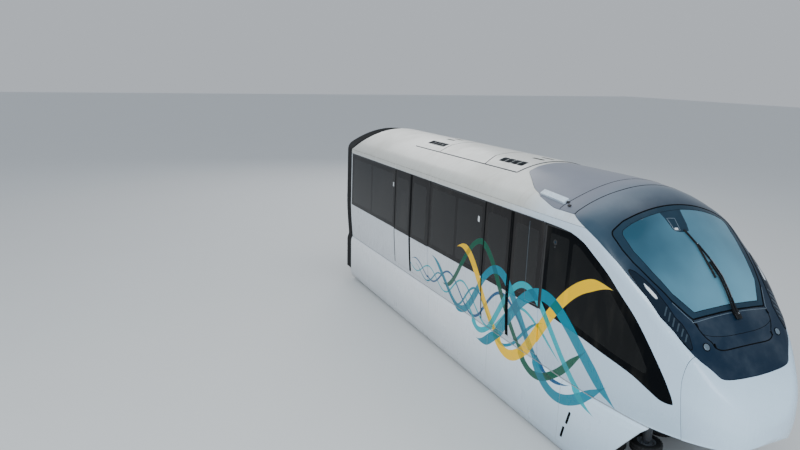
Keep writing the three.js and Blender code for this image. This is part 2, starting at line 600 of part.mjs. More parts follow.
const BELLOWS_INSET = 45;
const BELLOWS_THICK = 70;
const BELLOWS_BOTTOM_Z = -560;
function archOutline(inset) {
  const upper = halfSection(BODY_REAR, inset).filter(([, z]) => z > FLOOR_Z);
  const w = HALF_WIDTH - inset;
  const lower = [[w - SILL_IN, SILL_Z], [w - SKIRT_OUT, SKIRT_SHOULDER_Z], [w - SKIRT_OUT, BELLOWS_BOTTOM_Z]];
  return [...upper, ...lower];
}
function archForm(inset, drop) {
  const half = archOutline(inset).map(([y, z], i, all) => [y, i === all.length - 1 ? z - drop : z]);
  const other = half.slice(1).reverse().map(([y, z]) => [-y, z]);
  const x1 = BODY_REAR - SHELL_GAP + drop;
  const x0 = BODY_REAR - BELLOWS_LENGTH - drop;
  return loft([x0, x1].map((x) => [...half, ...other].map(([y, z]) => [x, y, z])));
}
const bellowsInside = archForm(BELLOWS_INSET + BELLOWS_THICK, 50);
addNode("gangway_bellows", archForm(BELLOWS_INSET, 0).subtract(bellowsInside), RUBBER);

const DRAWBAR_Z = [UNDERFRAME_BOTTOM_Z - SHELL_GAP - 90, UNDERFRAME_BOTTOM_Z - SHELL_GAP];
const drawbarEnd = BODY_REAR - BELLOWS_LENGTH;
const DRAWBAR_BLOCKS = [
  { part: "bar", x: [drawbarEnd + 20, -6380], half: 70, z: DRAWBAR_Z },
  { part: "mounting plate", x: [-6560, -6380], half: 220, z: DRAWBAR_Z },
  { part: "end", x: [drawbarEnd, drawbarEnd + 30], half: 160, z: [DRAWBAR_Z[0] - 60, DRAWBAR_Z[1] + 40] },
];
addNode("rear_drawbar", join(DRAWBAR_BLOCKS.map(({ x, half, z }) => block(x, [-half, half], z))), STEEL);

// Seats, handrails and the driving desk
const SEAT_Z = FLOOR_Z + 430;
const SEAT_WALL_Y = 1440;
const BENCH_BLOCKS = [
  { part: "seat", depth: 430, z: [SEAT_Z - 60, SEAT_Z] },
  { part: "back", depth: 10, z: [SEAT_Z - 10, SEAT_Z + 480] },
  { part: "plinth", depth: 260, z: [FLOOR_Z + SHELL_GAP, SEAT_Z - 10] },
];
const SEAT_RUNS = { rear: [-6500, -3300], middle: [-1350, 1170] };
for (const [name, run] of Object.entries(SEAT_RUNS)) {
  for (const [side, half] of SIDES) {
    const blocks = BENCH_BLOCKS.flatMap(({ depth, z }) => blockPair(run, [SEAT_WALL_Y - depth, PAST.y], z));
    addNode(`seat_bench_${name}_${side}`, join(blocks).intersect(half).intersect(inCabin), SEAT_PLASTIC);
  }
}
const rearWell = BOGIE_X[0];
const ISLAND_BLOCKS = [
  { part: "seat", dx: 560, z: [WELL_TOP_Z + SHELL_GAP, WELL_TOP_Z + 60] },
  { part: "back", dx: 40, z: [WELL_TOP_Z + 50, WELL_TOP_Z + 520] },
];
const island = ISLAND_BLOCKS.map(({ dx, z }) => block([rearWell - dx, rearWell + dx], [-380, 380], z));
addNode("seat_island", join(island), SEAT_PLASTIC);

const RAIL_RADIUS = 17;
const RAIL_Z = 2700;
const RAIL_Y = 520;
const RAIL_X = [-6300, 3100];
const POLES = [-3250, -1400, -90, 1220, 3070];
const railLength = RAIL_X[1] - RAIL_X[0];
const railMiddle = (RAIL_X[0] + RAIL_X[1]) / 2;
const STEMS = [-6000, -4700];
for (const [side, , sign] of SIDES) {
  const y = sign * RAIL_Y;
  const rail = bar("x", RAIL_RADIUS, railLength, [railMiddle, y, RAIL_Z], 8);
  const upright = (x, low) => bar("z", RAIL_RADIUS, PAST.z - low, [x, y, (PAST.z + low) / 2], 8);
  const poles = POLES.map((x) => upright(x, FLOOR_Z + SHELL_GAP));
  const stems = STEMS.map((x) => upright(x, RAIL_Z));
  const handrail = join([rail, ...poles, ...stems]).intersect(inCabin).subtract(roofUnitHole);
  addNode(`handrail_${side}`, handrail, HANDRAIL);
}

const DESK = [
  [4960, FLOOR_Z + SHELL_GAP], [4960, 1350], [5100, 1480], [5450, 1560], [5640, 1500],
  [5640, FLOOR_Z + SHELL_GAP],
];
addNode("driving_desk", sidePrism(DESK, [-950, 950]).intersect(inCabin), INTERIOR);

// Windscreen wiper, parked upright beside the centre line: places on the screen as x, y, height above it
const SCREEN_NORMAL = new THREE.Vector3(0.72, 0, 0.69);
function onScreen([x, y, lift]) {
  const drop = interpolate(CROWN_DROP, x) * (y / (halfWidth(x, 0) - ROOF_EDGE_IN)) ** 2;
  return new THREE.Vector3(x, y, crestZ(x, 0) - drop).addScaledVector(SCREEN_NORMAL, lift);
}
function strut(from, to, width, height) {
  const [a, b] = [onScreen(from), onScreen(to)];
  const along = b.clone().sub(a);
  const length = along.length() + width / 2;
  along.normalize();
  const across = SCREEN_NORMAL.clone().cross(along).normalize();
  const up = along.clone().cross(across);
  const g = new THREE.BoxGeometry(length, width, height);
  g.applyMatrix4(new THREE.Matrix4().makeBasis(along, across, up));
  g.translate(...a.add(b).multiplyScalar(0.5).toArray());
  return toSolid(g);
}
const WIPER_ARM = [[5870, 45, 45], [5597, 120, 45], [5429, 140, 42], [5248, 105, 38], [5017, 14, 30]];
const WIPER_BLADE = [[4812, -90, 18], [5017, 10, 18], [5438, 16, 18]];
function wiperBase(xs, [low, high], [y0, y1]) {
  const under = xs.map((x) => onScreen([x, 0, low]));
  const over = xs.map((x) => onScreen([x, 0, high])).reverse();
  return sidePrism([...under, ...over].map((p) => [p.x, p.z]), [y0, y1]);
}
const segments = (path, width, height) => path.slice(1).map((to, i) => strut(path[i], to, width, height));
addNode("wiper", join([
  wiperBase([5820, 5905, 5930], [0.5, 62], [0, 90]),
  ...segments(WIPER_ARM, 22, 18),
  ...segments(WIPER_BLADE, 16, 26),
]), RUBBER);

// Bogies
const CROSS_BEAM_DX = [620, 860];
const CROSS_BEAM_Y = [-1310, 1310];
const FRAME_Z = [120, 330];
const SIDE_BEAM_Y = [400, 540];
const AXLE_RADIUS = 70;
const AXLE_END = 560;
const LOAD_RIM = 280;
const HUB_RADIUS = 150;
const SIDE_RIM = 150;
const AXLE_BORE_RADIUS = 70.9;
const PIN_RADIUS = 48.5;
const PIN_BORE_RADIUS = 50;
const SPRING_Y = 1200;
const SPRING_RADIUS = 95;
const SPRING_DX = 740;
const YOKE_Y = [550, 1010];
const COLLAR = { radius: 80, thick: 30, gap: 8 };
const MOTOR = { dx: 240, y: [575, 1040], z: [150 + SHELL_GAP, 590] };

const halfTyre = SIDE_TYRE_WIDTH / 2;
const YOKE_REACH = 145;
const YOKE_GAP = halfTyre + 12;
const FRAME_BLOCKS = [
  { part: "side beams", dx: 700, y: SIDE_BEAM_Y, z: FRAME_Z },
  { part: "axle boxes", dx: 130, y: SIDE_BEAM_Y, z: [FRAME_Z[1] - 10, LOAD_RADIUS + 110] },
  { part: "shelves", dx: 120, y: [SIDE_BEAM_Y[0], YOKE_Y[1]], z: [40, 150] },
  { part: "legs", dx: 110, y: [930, YOKE_Y[1]], z: [STABILISER_Z - YOKE_REACH, 60] },
  { part: "lower arms", dx: 80, y: YOKE_Y, z: [STABILISER_Z - YOKE_REACH, STABILISER_Z - YOKE_GAP] },
  { part: "upper arms", dx: 80, y: YOKE_Y, z: [STABILISER_Z + YOKE_GAP, STABILISER_Z + YOKE_REACH] },
];

function bogieFrame(bx) {
  const crossBeams = [CROSS_BEAM_DX, CROSS_BEAM_DX.map((dx) => -dx).reverse()]
    .map(([dx0, dx1]) => block([bx + dx0, bx + dx1], CROSS_BEAM_Y, FRAME_Z));
  const blocks = FRAME_BLOCKS.flatMap(({ dx, y, z }) => blockPair([bx - dx, bx + dx], y, z));
  const springs = [-1, 1].flatMap((sx) => [-1, 1].map((sy) =>
    bar("z", SPRING_RADIUS, BOGIE_TOP_Z - FRAME_Z[1] + 20,
      [bx + sx * SPRING_DX, sy * SPRING_Y, (BOGIE_TOP_Z + FRAME_Z[1] - 20) / 2], 16)));
  const yokePins = [-1, 1].map((s) => bar("z", PIN_RADIUS, 280, [bx, s * SIDE_WHEEL_Y, STABILISER_Z], 12));
  const guidePins = [-1, 1].flatMap((sx) => [-1, 1].flatMap((sy) => {
    const [px, py] = [bx + sx * GUIDE_DX, sy * SIDE_WHEEL_Y];
    const upright = (radius, z0, z1) => bar("z", radius, z1 - z0, [px, py, (z0 + z1) / 2], 12);
    const [wheelLow, wheelHigh] = [GUIDE_Z - halfTyre - COLLAR.gap, GUIDE_Z + halfTyre + COLLAR.gap];
    return [
      upright(PIN_RADIUS, GUIDE_Z - halfTyre - 40, FRAME_Z[0] + 20),
      upright(COLLAR.radius, wheelLow - COLLAR.thick, wheelLow),
      upright(COLLAR.radius, wheelHigh, FRAME_Z[0] + 10),
    ];
  }));
  const bore = bar("y", AXLE_BORE_RADIUS, 1400, [bx, 0, LOAD_RADIUS], 24);
  return join([...crossBeams, ...blocks, ...springs, ...yokePins, ...guidePins]).subtract(bore);
}

// Load axle: shaft, hub, two discs and twin tyres turned as one piece, as [radius, offset along the axle]
function loadAxle(bx) {
  const [out, inn] = [LOAD_TYRE_Y + LOAD_TYRE_WIDTH / 2, LOAD_TYRE_Y - LOAD_TYRE_WIDTH / 2];
  const shoulder = 30;
  const rightHalf = [
    [0, -AXLE_END], [AXLE_RADIUS, -AXLE_END], [AXLE_RADIUS, -out + 20], [LOAD_RIM, -out + 20],
    [LOAD_RADIUS - 50, -out], [LOAD_RADIUS, -out + shoulder], [LOAD_RADIUS, -inn - shoulder],
    [LOAD_RADIUS - 50, -inn], [LOAD_RIM, -inn - 10], [HUB_RADIUS, -inn - 10],
  ];
  const leftHalf = rightHalf.map(([r, a]) => [r, -a]).reverse();
  return turned("y", [...rightHalf, ...leftHalf], [bx, 0, LOAD_RADIUS], 24);
}

// Guide or stabilising wheel with its bore on an upright pin
function sideWheel(x, y, z) {
  const low = [
    [PIN_BORE_RADIUS, -halfTyre + 30], [SIDE_RIM, -halfTyre + 30], [SIDE_RIM, -halfTyre + 10],
    [SIDE_RADIUS - 20, -halfTyre], [SIDE_RADIUS, -halfTyre + 30],
  ];
  const high = low.map(([r, a]) => [r, -a]).reverse();
  return turned("z", [...low, ...high], [x, y, z], 16);
}

BOGIE_X.forEach((bx, i) => {
  const end = i === 0 ? "rear" : "front";
  addNode(`bogie_frame_${end}`, bogieFrame(bx), STEEL);
  addNode(`traction_motor_${end}`, block([bx - MOTOR.dx, bx + MOTOR.dx], MOTOR.y, MOTOR.z), STEEL);
  addNode(`load_wheels_${end}`, loadAxle(bx), RUBBER);
  for (const [side, , sign] of SIDES) {
    for (const [place, dx] of [["lead", GUIDE_DX], ["trail", -GUIDE_DX]]) {
      const wheel = sideWheel(bx + dx, sign * SIDE_WHEEL_Y, GUIDE_Z);
      addNode(`guide_wheel_${end}_${side}_${place}`, wheel, RUBBER);
    }
    addNode(`stabiliser_wheel_${end}_${side}`, sideWheel(bx, sign * SIDE_WHEEL_Y, STABILISER_Z), RUBBER);
  }
});

export default group;
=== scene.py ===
"""Looks of the monorail lead car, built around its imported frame. Metres, +X to the nose, +Z up."""

import json
import math
from functools import lru_cache
from itertools import product

import bmesh
import bpy
import numpy as np
from mathutils import Matrix, Vector
from mathutils.geometry import delaunay_2d_cdt


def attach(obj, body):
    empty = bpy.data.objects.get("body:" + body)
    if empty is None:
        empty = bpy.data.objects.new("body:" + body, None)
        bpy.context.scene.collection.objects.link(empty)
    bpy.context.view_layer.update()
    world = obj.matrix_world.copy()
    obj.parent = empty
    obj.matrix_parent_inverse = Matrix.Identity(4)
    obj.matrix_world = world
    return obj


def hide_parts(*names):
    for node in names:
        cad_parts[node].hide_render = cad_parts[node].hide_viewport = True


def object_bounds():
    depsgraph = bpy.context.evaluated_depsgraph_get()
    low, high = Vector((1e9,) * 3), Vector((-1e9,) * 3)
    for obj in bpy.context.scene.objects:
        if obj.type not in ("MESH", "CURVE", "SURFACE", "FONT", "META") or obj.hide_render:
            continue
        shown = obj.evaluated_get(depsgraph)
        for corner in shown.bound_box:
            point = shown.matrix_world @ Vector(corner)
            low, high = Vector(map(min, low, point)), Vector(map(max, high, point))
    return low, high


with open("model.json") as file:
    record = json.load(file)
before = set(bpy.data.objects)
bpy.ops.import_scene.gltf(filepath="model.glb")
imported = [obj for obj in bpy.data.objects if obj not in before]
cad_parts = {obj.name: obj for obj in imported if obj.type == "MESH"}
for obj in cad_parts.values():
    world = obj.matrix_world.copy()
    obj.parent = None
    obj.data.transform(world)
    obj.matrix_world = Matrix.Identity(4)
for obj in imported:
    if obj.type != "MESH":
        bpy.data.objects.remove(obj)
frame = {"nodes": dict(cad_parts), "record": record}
CAD_BOX = [list(corner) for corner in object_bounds()]
BODY_OF = {node: body for body, nodes in frame["record"]["behaviour"]["bodies"].items() for node in nodes}
CAR_BODY = "car_body"
SIDES = (("right", -1), ("left", 1))
UP = (0, 0, 1)

# Camera: the photograph's viewpoint, found from its vanishing points
CAMERA_PLACE = (11.97837, -8.61805, 5.86019)
CAMERA_TURN = (76.21359, -1.41031, 65.13384)
CAMERA_LENS = 28.461

camera = bpy.data.objects.new("camera", bpy.data.cameras.new("camera"))
camera.data.lens = CAMERA_LENS
camera.data.sensor_width = 36
camera.location = CAMERA_PLACE
camera.rotation_euler = [math.radians(a) for a in CAMERA_TURN]
camera.data.clip_end = 1000
bpy.context.scene.collection.objects.link(camera)
bpy.context.scene.camera = camera

# Driving dimensions of the body
NOSE_TIP = 6.840
REAR = -6.695
HALF_WIDTH = 1.585
WAIST_Z = 1.643
WINDOW_TOP_Z = 3.239
ROOF_EDGE_IN = 0.026
SILL_Z = 0.574
SILL_IN = 0.070
WALL = 0.070
GLASS = 0.010
TAPER_START = 3.705
TAPER_POWER_X = 2.35
TAPER_POWER_Y = 2.4
BROW_X, BROW_Z, BROW_SLOPE = 6.415, 1.570, 1.2
TIP_Z = 0.920
CHIN_RADIUS = 0.225
CHIN_Z = 0.540
BELLY_FALL_START, BELLY_FALL_SLOPE = 5.0, 0.054
CORNER = 0.190
EAVE_Z = 3.400
FLOOR_Z = 0.700
CAB_JOINT_X = 3.050

# Centre line of the roof and screen: x, z
CREST = [
    (2.700, 4.050), (3.300, 4.045), (3.855, 3.990), (4.205, 3.870), (4.475, 3.720), (4.805, 3.420),
    (5.135, 3.085), (5.445, 2.760), (5.745, 2.430), (5.905, 2.270), (6.105, 2.020), (6.245, 1.810),
    (6.415, 1.570),
]
# Fall of the crown from the centre line to the shoulder: x, fall
CROWN_DROP = [
    (3.705, 0.517), (4.772, 0.385), (5.139, 0.280), (5.468, 0.190), (5.765, 0.160), (6.040, 0.130),
    (6.300, 0.060), (6.600, 0.020),
]


def smooth_table(rows):
    """A smooth curve through rows of x and value, with no overshoot between them."""
    xs = [row[0] for row in rows]
    vs = [row[1] for row in rows]
    slopes = [(vs[i + 1] - vs[i]) / (xs[i + 1] - xs[i]) for i in range(len(rows) - 1)]
    tangents = [slopes[0]]
    for before, after in zip(slopes, slopes[1:]):
        tangents.append(0.0 if before * after <= 0 else 2 * before * after / (before + after))
    tangents.append(slopes[-1])

    def value(x):
        if x <= xs[0]:
            return vs[0]
        if x >= xs[-1]:
            return vs[-1]
        i = max(k for k in range(len(xs) - 1) if xs[k] <= x)
        span = xs[i + 1] - xs[i]
        t = (x - xs[i]) / span
        return (
            (2 * t**3 - 3 * t**2 + 1) * vs[i] + (t**3 - 2 * t**2 + t) * span * tangents[i]
            + (3 * t**2 - 2 * t**3) * vs[i + 1] + (t**3 - t**2) * span * tangents[i + 1]
        )

    return value


crest_table = smooth_table(CREST)
crown_drop = smooth_table(CROWN_DROP)


def half_width(x):
    if x <= TAPER_START:
        return HALF_WIDTH
    s = min(1.0, (x - TAPER_START) / (NOSE_TIP - TAPER_START))
    return HALF_WIDTH * (1 - s**TAPER_POWER_X) ** (1 / TAPER_POWER_Y)


def crest_z(x):
    if x <= BROW_X:
        return crest_table(x)
    control = BROW_Z - BROW_SLOPE * (NOSE_TIP - BROW_X)
    t = 1 - math.sqrt(max(0.0, 1 - (x - BROW_X) / (NOSE_TIP - BROW_X)))
    return (1 - t) ** 2 * BROW_Z + 2 * t * (1 - t) * control + t**2 * TIP_Z


def belly_z(x):
    centre = NOSE_TIP - CHIN_RADIUS
    if x <= centre:
        return max(CHIN_Z, SILL_Z - BELLY_FALL_SLOPE * max(0.0, x - BELLY_FALL_START))
    return CHIN_Z + CHIN_RADIUS - math.sqrt(max(0.0, CHIN_RADIUS**2 - (x - centre) ** 2))


class Section:
    """Right half of the body's section at one x.

    t runs down from the centre line: 0 to 1 is the crown, to 2 the rounded corner, to 3 the side and to 4 the
    belly.
    """

    def __init__(self, x):
        self.w = half_width(x)
        self.top = crest_z(x)
        self.bottom = belly_z(x)
        height = max(self.top - self.bottom, 1e-4)
        self.lean = min(1.0, self.w / 0.8) * ROOF_EDGE_IN
        self.shoulder_y = max(self.w - self.lean, 0.5 * self.w)
        self.drop = min(crown_drop(x), 0.3 * height)
        self.shoulder_z = self.top - self.drop
        corner = min(CORNER, 0.4 * self.w, 0.35 * height)
        self.crown_end = self.shoulder_y - corner
        self.side_top = self.shoulder_z - corner
        self.waist = min(WAIST_Z, self.bottom + 0.45 * height)
        start = self.crown(self.crown_end)
        slope = -2 * self.drop * self.crown_end / max(self.shoulder_y, 1e-6) ** 2
        self.knots = (
            (self.crown_end, start),
            (self.shoulder_y, start + slope * corner),
            (self.side(self.side_top), self.side_top),
        )
        self.lengths = self.measure()

    def crown(self, y):
        return self.top - self.drop * (y / max(self.shoulder_y, 1e-6)) ** 2

    def side(self, z):
        if z > self.waist:
            return self.w - self.lean * (z - self.waist) / max(0.001, self.shoulder_z - self.waist)
        fall = (self.waist - z) / max(0.001, self.waist - self.bottom)
        return self.w - min(SILL_IN, 0.2 * self.w) * fall**1.4

    def at(self, t):
        if t <= 1:
            y = self.crown_end * t
            return y, self.crown(y)
        if t <= 2:
            q = t - 1
            weights = ((1 - q) ** 2, 2 * q * (1 - q), q**2)
            return tuple(sum(k * p[i] for k, p in zip(weights, self.knots)) for i in (0, 1))
        if t <= 3.2:
            z = self.side_top + (self.bottom - self.side_top) * (t - 2)
            return self.side(z), z
        return self.side(self.bottom) * (4 - t), self.bottom

    def measure(self):
        """Distances along the section at even steps of t from 0 to 3."""
        steps = 24
        total, lengths, last = 0.0, [0.0], self.at(0)
        for i in range(1, steps + 1):
            here = self.at(3 * i / steps)
            total += math.dist(here, last)
            lengths.append(total)
            last = here
        return lengths

    def along(self, t):
        f = max(t / 3, 0) * (len(self.lengths) - 1)
        i = min(int(f), len(self.lengths) - 2)
        return self.lengths[i] + (self.lengths[i + 1] - self.lengths[i]) * (f - i)


@lru_cache(maxsize=None)
def section(x):
    return Section(x)


def nose_x(angle):
    """x at an angle round the nose in plan, from 0 where it starts to taper to a quarter turn at the tip."""
    return TAPER_START + (NOSE_TIP - TAPER_START) * math.sin(angle) ** (2 / TAPER_POWER_X)


def nose_angle(x):
    s = min(1.0, max(0.0, (x - TAPER_START) / (NOSE_TIP - TAPER_START)))
    return math.asin(s ** (TAPER_POWER_X / 2))


PLAN_STEPS = 400
plan_length = [0.0]
for step in range(PLAN_STEPS):
    xa, xb = (nose_x(math.pi / 2 * k / PLAN_STEPS) for k in (step, step + 1))
    plan_length.append(plan_length[-1] + math.hypot(xb - xa, half_width(xb) - half_width(xa)))


def flat(x, t):
    """The flat map that panels are cut out in: distance along the plan and down the section."""
    across = math.copysign(section(x).along(abs(t)), t)
    if x <= TAPER_START:
        return x, across
    f = nose_angle(x) / (math.pi / 2) * PLAN_STEPS
    i = min(int(f), PLAN_STEPS - 1)
    return TAPER_START + plan_length[i] + (plan_length[i + 1] - plan_length[i]) * (f - i), across


def skin(x, t):
    """Point of the body's surface; negative t is the right side, y below 0."""
    y, z = section(x).at(abs(t))
    return Vector((x, math.copysign(y, t), z))


@lru_cache(maxsize=None)
def skin_normal(x, t):
    if x <= TAPER_START - 0.02:
        ahead, behind = x + 0.01, x - 0.01
    else:
        angle = nose_angle(x)
        ahead = nose_x(min(angle + 0.004, math.pi / 2 - 0.001))
        behind = nose_x(angle - 0.004) if angle > 0.01 else x - 0.02
    dt = 0.01
    along = skin(ahead, t) - skin(behind, t)
    down = skin(x, t + dt) - skin(x, t - dt)
    normal = along.cross(down)
    if normal.length < 1e-9:
        return Vector((1, 0, 0))
    normal.normalize()
    centre = Vector((x - 0.5, 0, min(section(x).waist, section(x).top)))
    return normal if normal.dot(skin(x, t) - centre) > 0 else -normal


def place(x, t, depth):
    return skin(x, t) + skin_normal(x, t) * depth


def t_from_side(x, z):
    """Where the section at x passes height z, on its corner or side."""
    s = section(x)
    if z <= s.side_top:
        return 2 + (s.side_top - z) / (s.side_top - s.bottom)
    low, high = 0.0, 2.0
    for _ in range(30):
        mid = (low + high) / 2
        if s.at(mid)[1] > z:
            low = mid
        else:
            high = mid
    return low


def t_from_plan(x, y):
    """Where the section at x is |y| from the centre line, on its crown or corner."""
    s = section(x)
    if abs(y) <= s.crown_end:
        return y / max(s.crown_end, 1e-6)
    low, high = 1.0, 2.0
    for _ in range(30):
        mid = (low + high) / 2
        if s.at(mid)[0] < abs(y):
            low = mid
        else:
            high = mid
    return math.copysign(low, y)


# Outlines

def rounded(points, steps=5):
    """Outline with its corners rounded: each point is two coordinates and an optional radius."""
    result = []
    count = len(points)
    for i, point in enumerate(points):
        here = Vector(point[:2])
        radius = point[2] if len(point) > 2 else 0
        if not radius:
            result.append(tuple(here))
            continue
        before = Vector(points[i - 1][:2]) - here
        after = Vector(points[(i + 1) % count][:2]) - here
        half = before.angle(after) / 2
        reach = min(radius / math.tan(half), 0.48 * before.length, 0.48 * after.length)
        a, b = here + before.normalized() * reach, here + after.normalized() * reach
        for k in range(steps + 1):
            f = k / steps
            result.append(tuple(a * (1 - f) ** 2 + here * 2 * f * (1 - f) + b * f**2))
    return result


def spline(points, steps=8):
    """Smooth open curve through points."""
    result = []
    padded = [points[0], *points, points[-1]]
    for i in range(1, len(padded) - 2):
        p0, p1, p2, p3 = (Vector(p) for p in padded[i - 1:i + 3])
        for k in range(steps):
            f = k / steps
            result.append(tuple(0.5 * (
                2 * p1 + (p2 - p0) * f + (2 * p0 - 5 * p1 + 4 * p2 - p3) * f**2
                + (3 * p1 - p0 - 3 * p2 + p3) * f**3)))
    return [*result, tuple(points[-1])]


def dense(points, step=0.05, closed=True):
    """The same outline with no stretch longer than step."""
    result = []
    ends = points[1:] + points[:1] if closed else points[1:]
    for a, b in zip(points, ends):
        count = max(1, math.ceil(math.dist(a, b) / step))
        result += [tuple(a[i] + (b[i] - a[i]) * k / count for i in (0, 1)) for k in range(count)]
    return result if closed else [*result, points[-1]]


def rectangle(x0, x1, z0, z1, radius=0.0):
    return [(x0, z0, radius), (x1, z0, radius), (x1, z1, radius), (x0, z1, radius)]


def side_loop(points, side):
    """Outline seen from the side, x and z, laid on the body's left (+1) or right (-1) side."""
    return [(x, side * t_from_side(x, z)) for x, z in dense(rounded(points))]


def plan_loop(points):
    """Outline seen from above, x and y, laid on the crown."""
    return [(x, t_from_plan(x, y)) for x, y in dense(rounded(points))]


def side_line(points, step=0.05):
    """Open line seen from the side, x and z, laid on the left side."""
    return [(x, t_from_side(x, z)) for x, z in dense(points, step, closed=False)]


def plan_line(points, sign=1, step=0.03):
    """Open line seen from above, x and y, laid on the crown."""
    return [(x, t_from_plan(x, sign * y)) for x, y in dense(points, step, closed=False)]


def mirrored(line):
    """A line from the right side to the centre, continued on the left side."""
    return [(x, -abs(t)) for x, t in line] + [(x, abs(t)) for x, t in reversed(line) if abs(t) > 1e-6]


LEAST_STEP = 0.0015


def without_repeats(loop):
    kept = []
    for point in loop:
        if not kept or math.dist(flat(*point), flat(*kept[-1])) > LEAST_STEP:
            kept.append(point)
    while math.dist(flat(*kept[0]), flat(*kept[-1])) < LEAST_STEP:
        kept.pop()
    return kept


def area(loop):
    return sum(a[0] * b[1] - b[0] * a[1] for a, b in zip(loop, loop[1:] + loop[:1])) / 2


def unflat(a, b, near):
    """Back from the flat map to x and t, starting from a point close by."""
    x, t = near
    for _ in range(4):
        fa, fb = flat(x, t)
        step_x, step_t = 1e-3, 1e-3
        if x + step_x > NOSE_TIP:
            step_x = -step_x
        ax, bx = flat(x + step_x, t)
        at, bt = flat(x, t + step_t)
        m = [[(ax - fa) / step_x, (at - fa) / step_t], [(bx - fb) / step_x, (bt - fb) / step_t]]
        det = m[0][0] * m[1][1] - m[0][1] * m[1][0]
        da, db = a - fa, b - fb
        x = min(NOSE_TIP, x + (m[1][1] * da - m[0][1] * db) / det)
        t += (m[0][0] * db - m[1][0] * da) / det
    return x, t


def inset(loop, distance):
    """Outline moved inwards by distance on the flat map."""
    points = [Vector(flat(*p)) for p in loop]
    turn = 1 if area([tuple(p) for p in points]) > 0 else -1
    result = []
    count = len(points)
    for i, here in enumerate(points):
        a = (here - points[i - 1]).normalized()
        b = (points[(i + 1) % count] - here).normalized()
        inward = Vector((-(a.y + b.y), a.x + b.x)) * turn
        if inward.length < 1e-6:
            inward = Vector((-a.y, a.x)) * turn
        inward.normalize()
        stretch = 1 / max(0.5, inward.dot(Vector((-a.y, a.x)) * turn))
        moved = here + inward * distance * stretch
        result.append(unflat(moved.x, moved.y, loop[i]))
    return result


def inside(points, loop):
    """Which rows of points lie inside a flat outline."""
    x, y = points[:, 0][:, None], points[:, 1][:, None]
    a = np.array(loop)
    b = np.roll(a, -1, axis=0)
    rise = np.where(b[:, 1] == a[:, 1], 1e-12, b[:, 1] - a[:, 1])
    crosses = (a[:, 1] > y) != (b[:, 1] > y)
    left = x < (b[:, 0] - a[:, 0]) * (y - a[:, 1]) / rise + a[:, 0]
    return (crosses & left).sum(axis=1) % 2 == 1


NOSE_STEPS = 64
GRID_CLEARANCE = 0.022
GRID_X = [REAR + 0.3 * i for i in range(1, 34)]
GRID_X += [nose_x(math.pi / 2 * i / NOSE_STEPS) for i in range(1, NOSE_STEPS)]
GRID_T = [i / 12 for i in range(12)] + [1 + i / 6 for i in range(6)] + [2 + i / 12 for i in range(13)]


def grid_inside(loops):
    """Points of the body's own grid inside the first loop and outside the others, clear of them all."""
    flats = [[flat(*p) for p in loop] for loop in loops]
    xs = [p[0] for p in loops[0]]
    candidates = [(x, sign * t) for x in GRID_X if min(xs) < x < max(xs) for t in GRID_T for sign in (1, -1)
                  if t or sign > 0]
    if not candidates:
        return []
    where = np.array([flat(*p) for p in candidates])
    keep = inside(where, flats[0])
    for other in flats[1:]:
        keep &= ~inside(where, other)
    edges = np.array([p for loop in flats for p in loop])
    for i in np.nonzero(keep)[0]:
        if np.min(np.hypot(*(edges - where[i]).T)) < GRID_CLEARANCE:
            keep[i] = False
    return [candidates[i] for i in np.nonzero(keep)[0]]


def triangulate(loops, lines, interior):
    """Triangles inside the first loop and outside the others, with every loop and extra line as edges."""
    nodes = [p for loop in [*loops, *lines] for p in loop] + interior
    where = [Vector(flat(*p)) for p in nodes]
    edges = []
    start = 0
    for loop in [*loops, *lines]:
        edges += [(start + i, start + (i + 1) % len(loop)) for i in range(len(loop))]
        start += len(loop)
    out, _, faces, origins, _, _ = delaunay_2d_cdt(where, edges, [], 0, 1e-6)
    origin = [o[0] if o else min(range(len(where)), key=lambda k: (where[k] - out[i]).length_squared)
              for i, o in enumerate(origins)]
    centres = np.array([sum((out[i] for i in f), Vector((0, 0))) / 3 for f in faces])
    keep = inside(centres, [flat(*p) for p in loops[0]])
    for other in loops[1:]:
        keep &= ~inside(centres, [flat(*p) for p in other])
    chosen = [tuple(origin[i] for i in faces[k]) for k in np.nonzero(keep)[0]]
    kept_centres = centres[keep]
    whole = [k for k, f in enumerate(chosen) if len(set(f)) == 3]
    return nodes, [chosen[k] for k in whole], kept_centres[whole]


# Mesh helpers

def new_object(name, mesh, materials, sharp=None):
    """A linked object of a mesh, smooth all over or between edges over an angle."""
    for material in materials:
        mesh.materials.append(material)
    mesh.polygons.foreach_set("use_smooth", [True] * len(mesh.polygons))
    if sharp:
        mesh.set_sharp_from_angle(angle=math.radians(sharp))
    obj = bpy.data.objects.new(name, mesh)
    bpy.context.scene.collection.objects.link(obj)
    return obj


def soft_edges(obj, width, segments, angle):
    soft = obj.modifiers.new("soft", "BEVEL")
    soft.width = width
    soft.segments = segments
    soft.limit_method = "ANGLE"
    soft.angle_limit = math.radians(angle)


class Shape:
    """Vertices, faces, corner normals and material numbers of a mesh being put together."""

    def __init__(self):
        self.points, self.faces, self.normals, self.slots = [], [], [], []

    def add(self, face, normals, slot):
        self.faces.append(list(face))
        self.normals += [tuple(n) for n in normals]
        self.slots.append(slot)

    def make(self, name, materials):
        mesh = bpy.data.meshes.new(name)
        mesh.from_pydata(self.points, [], self.faces)
        mesh.polygons.foreach_set("material_index", self.slots)
        obj = new_object(name, mesh, materials)
        mesh.normals_split_custom_set(self.normals)
        return obj


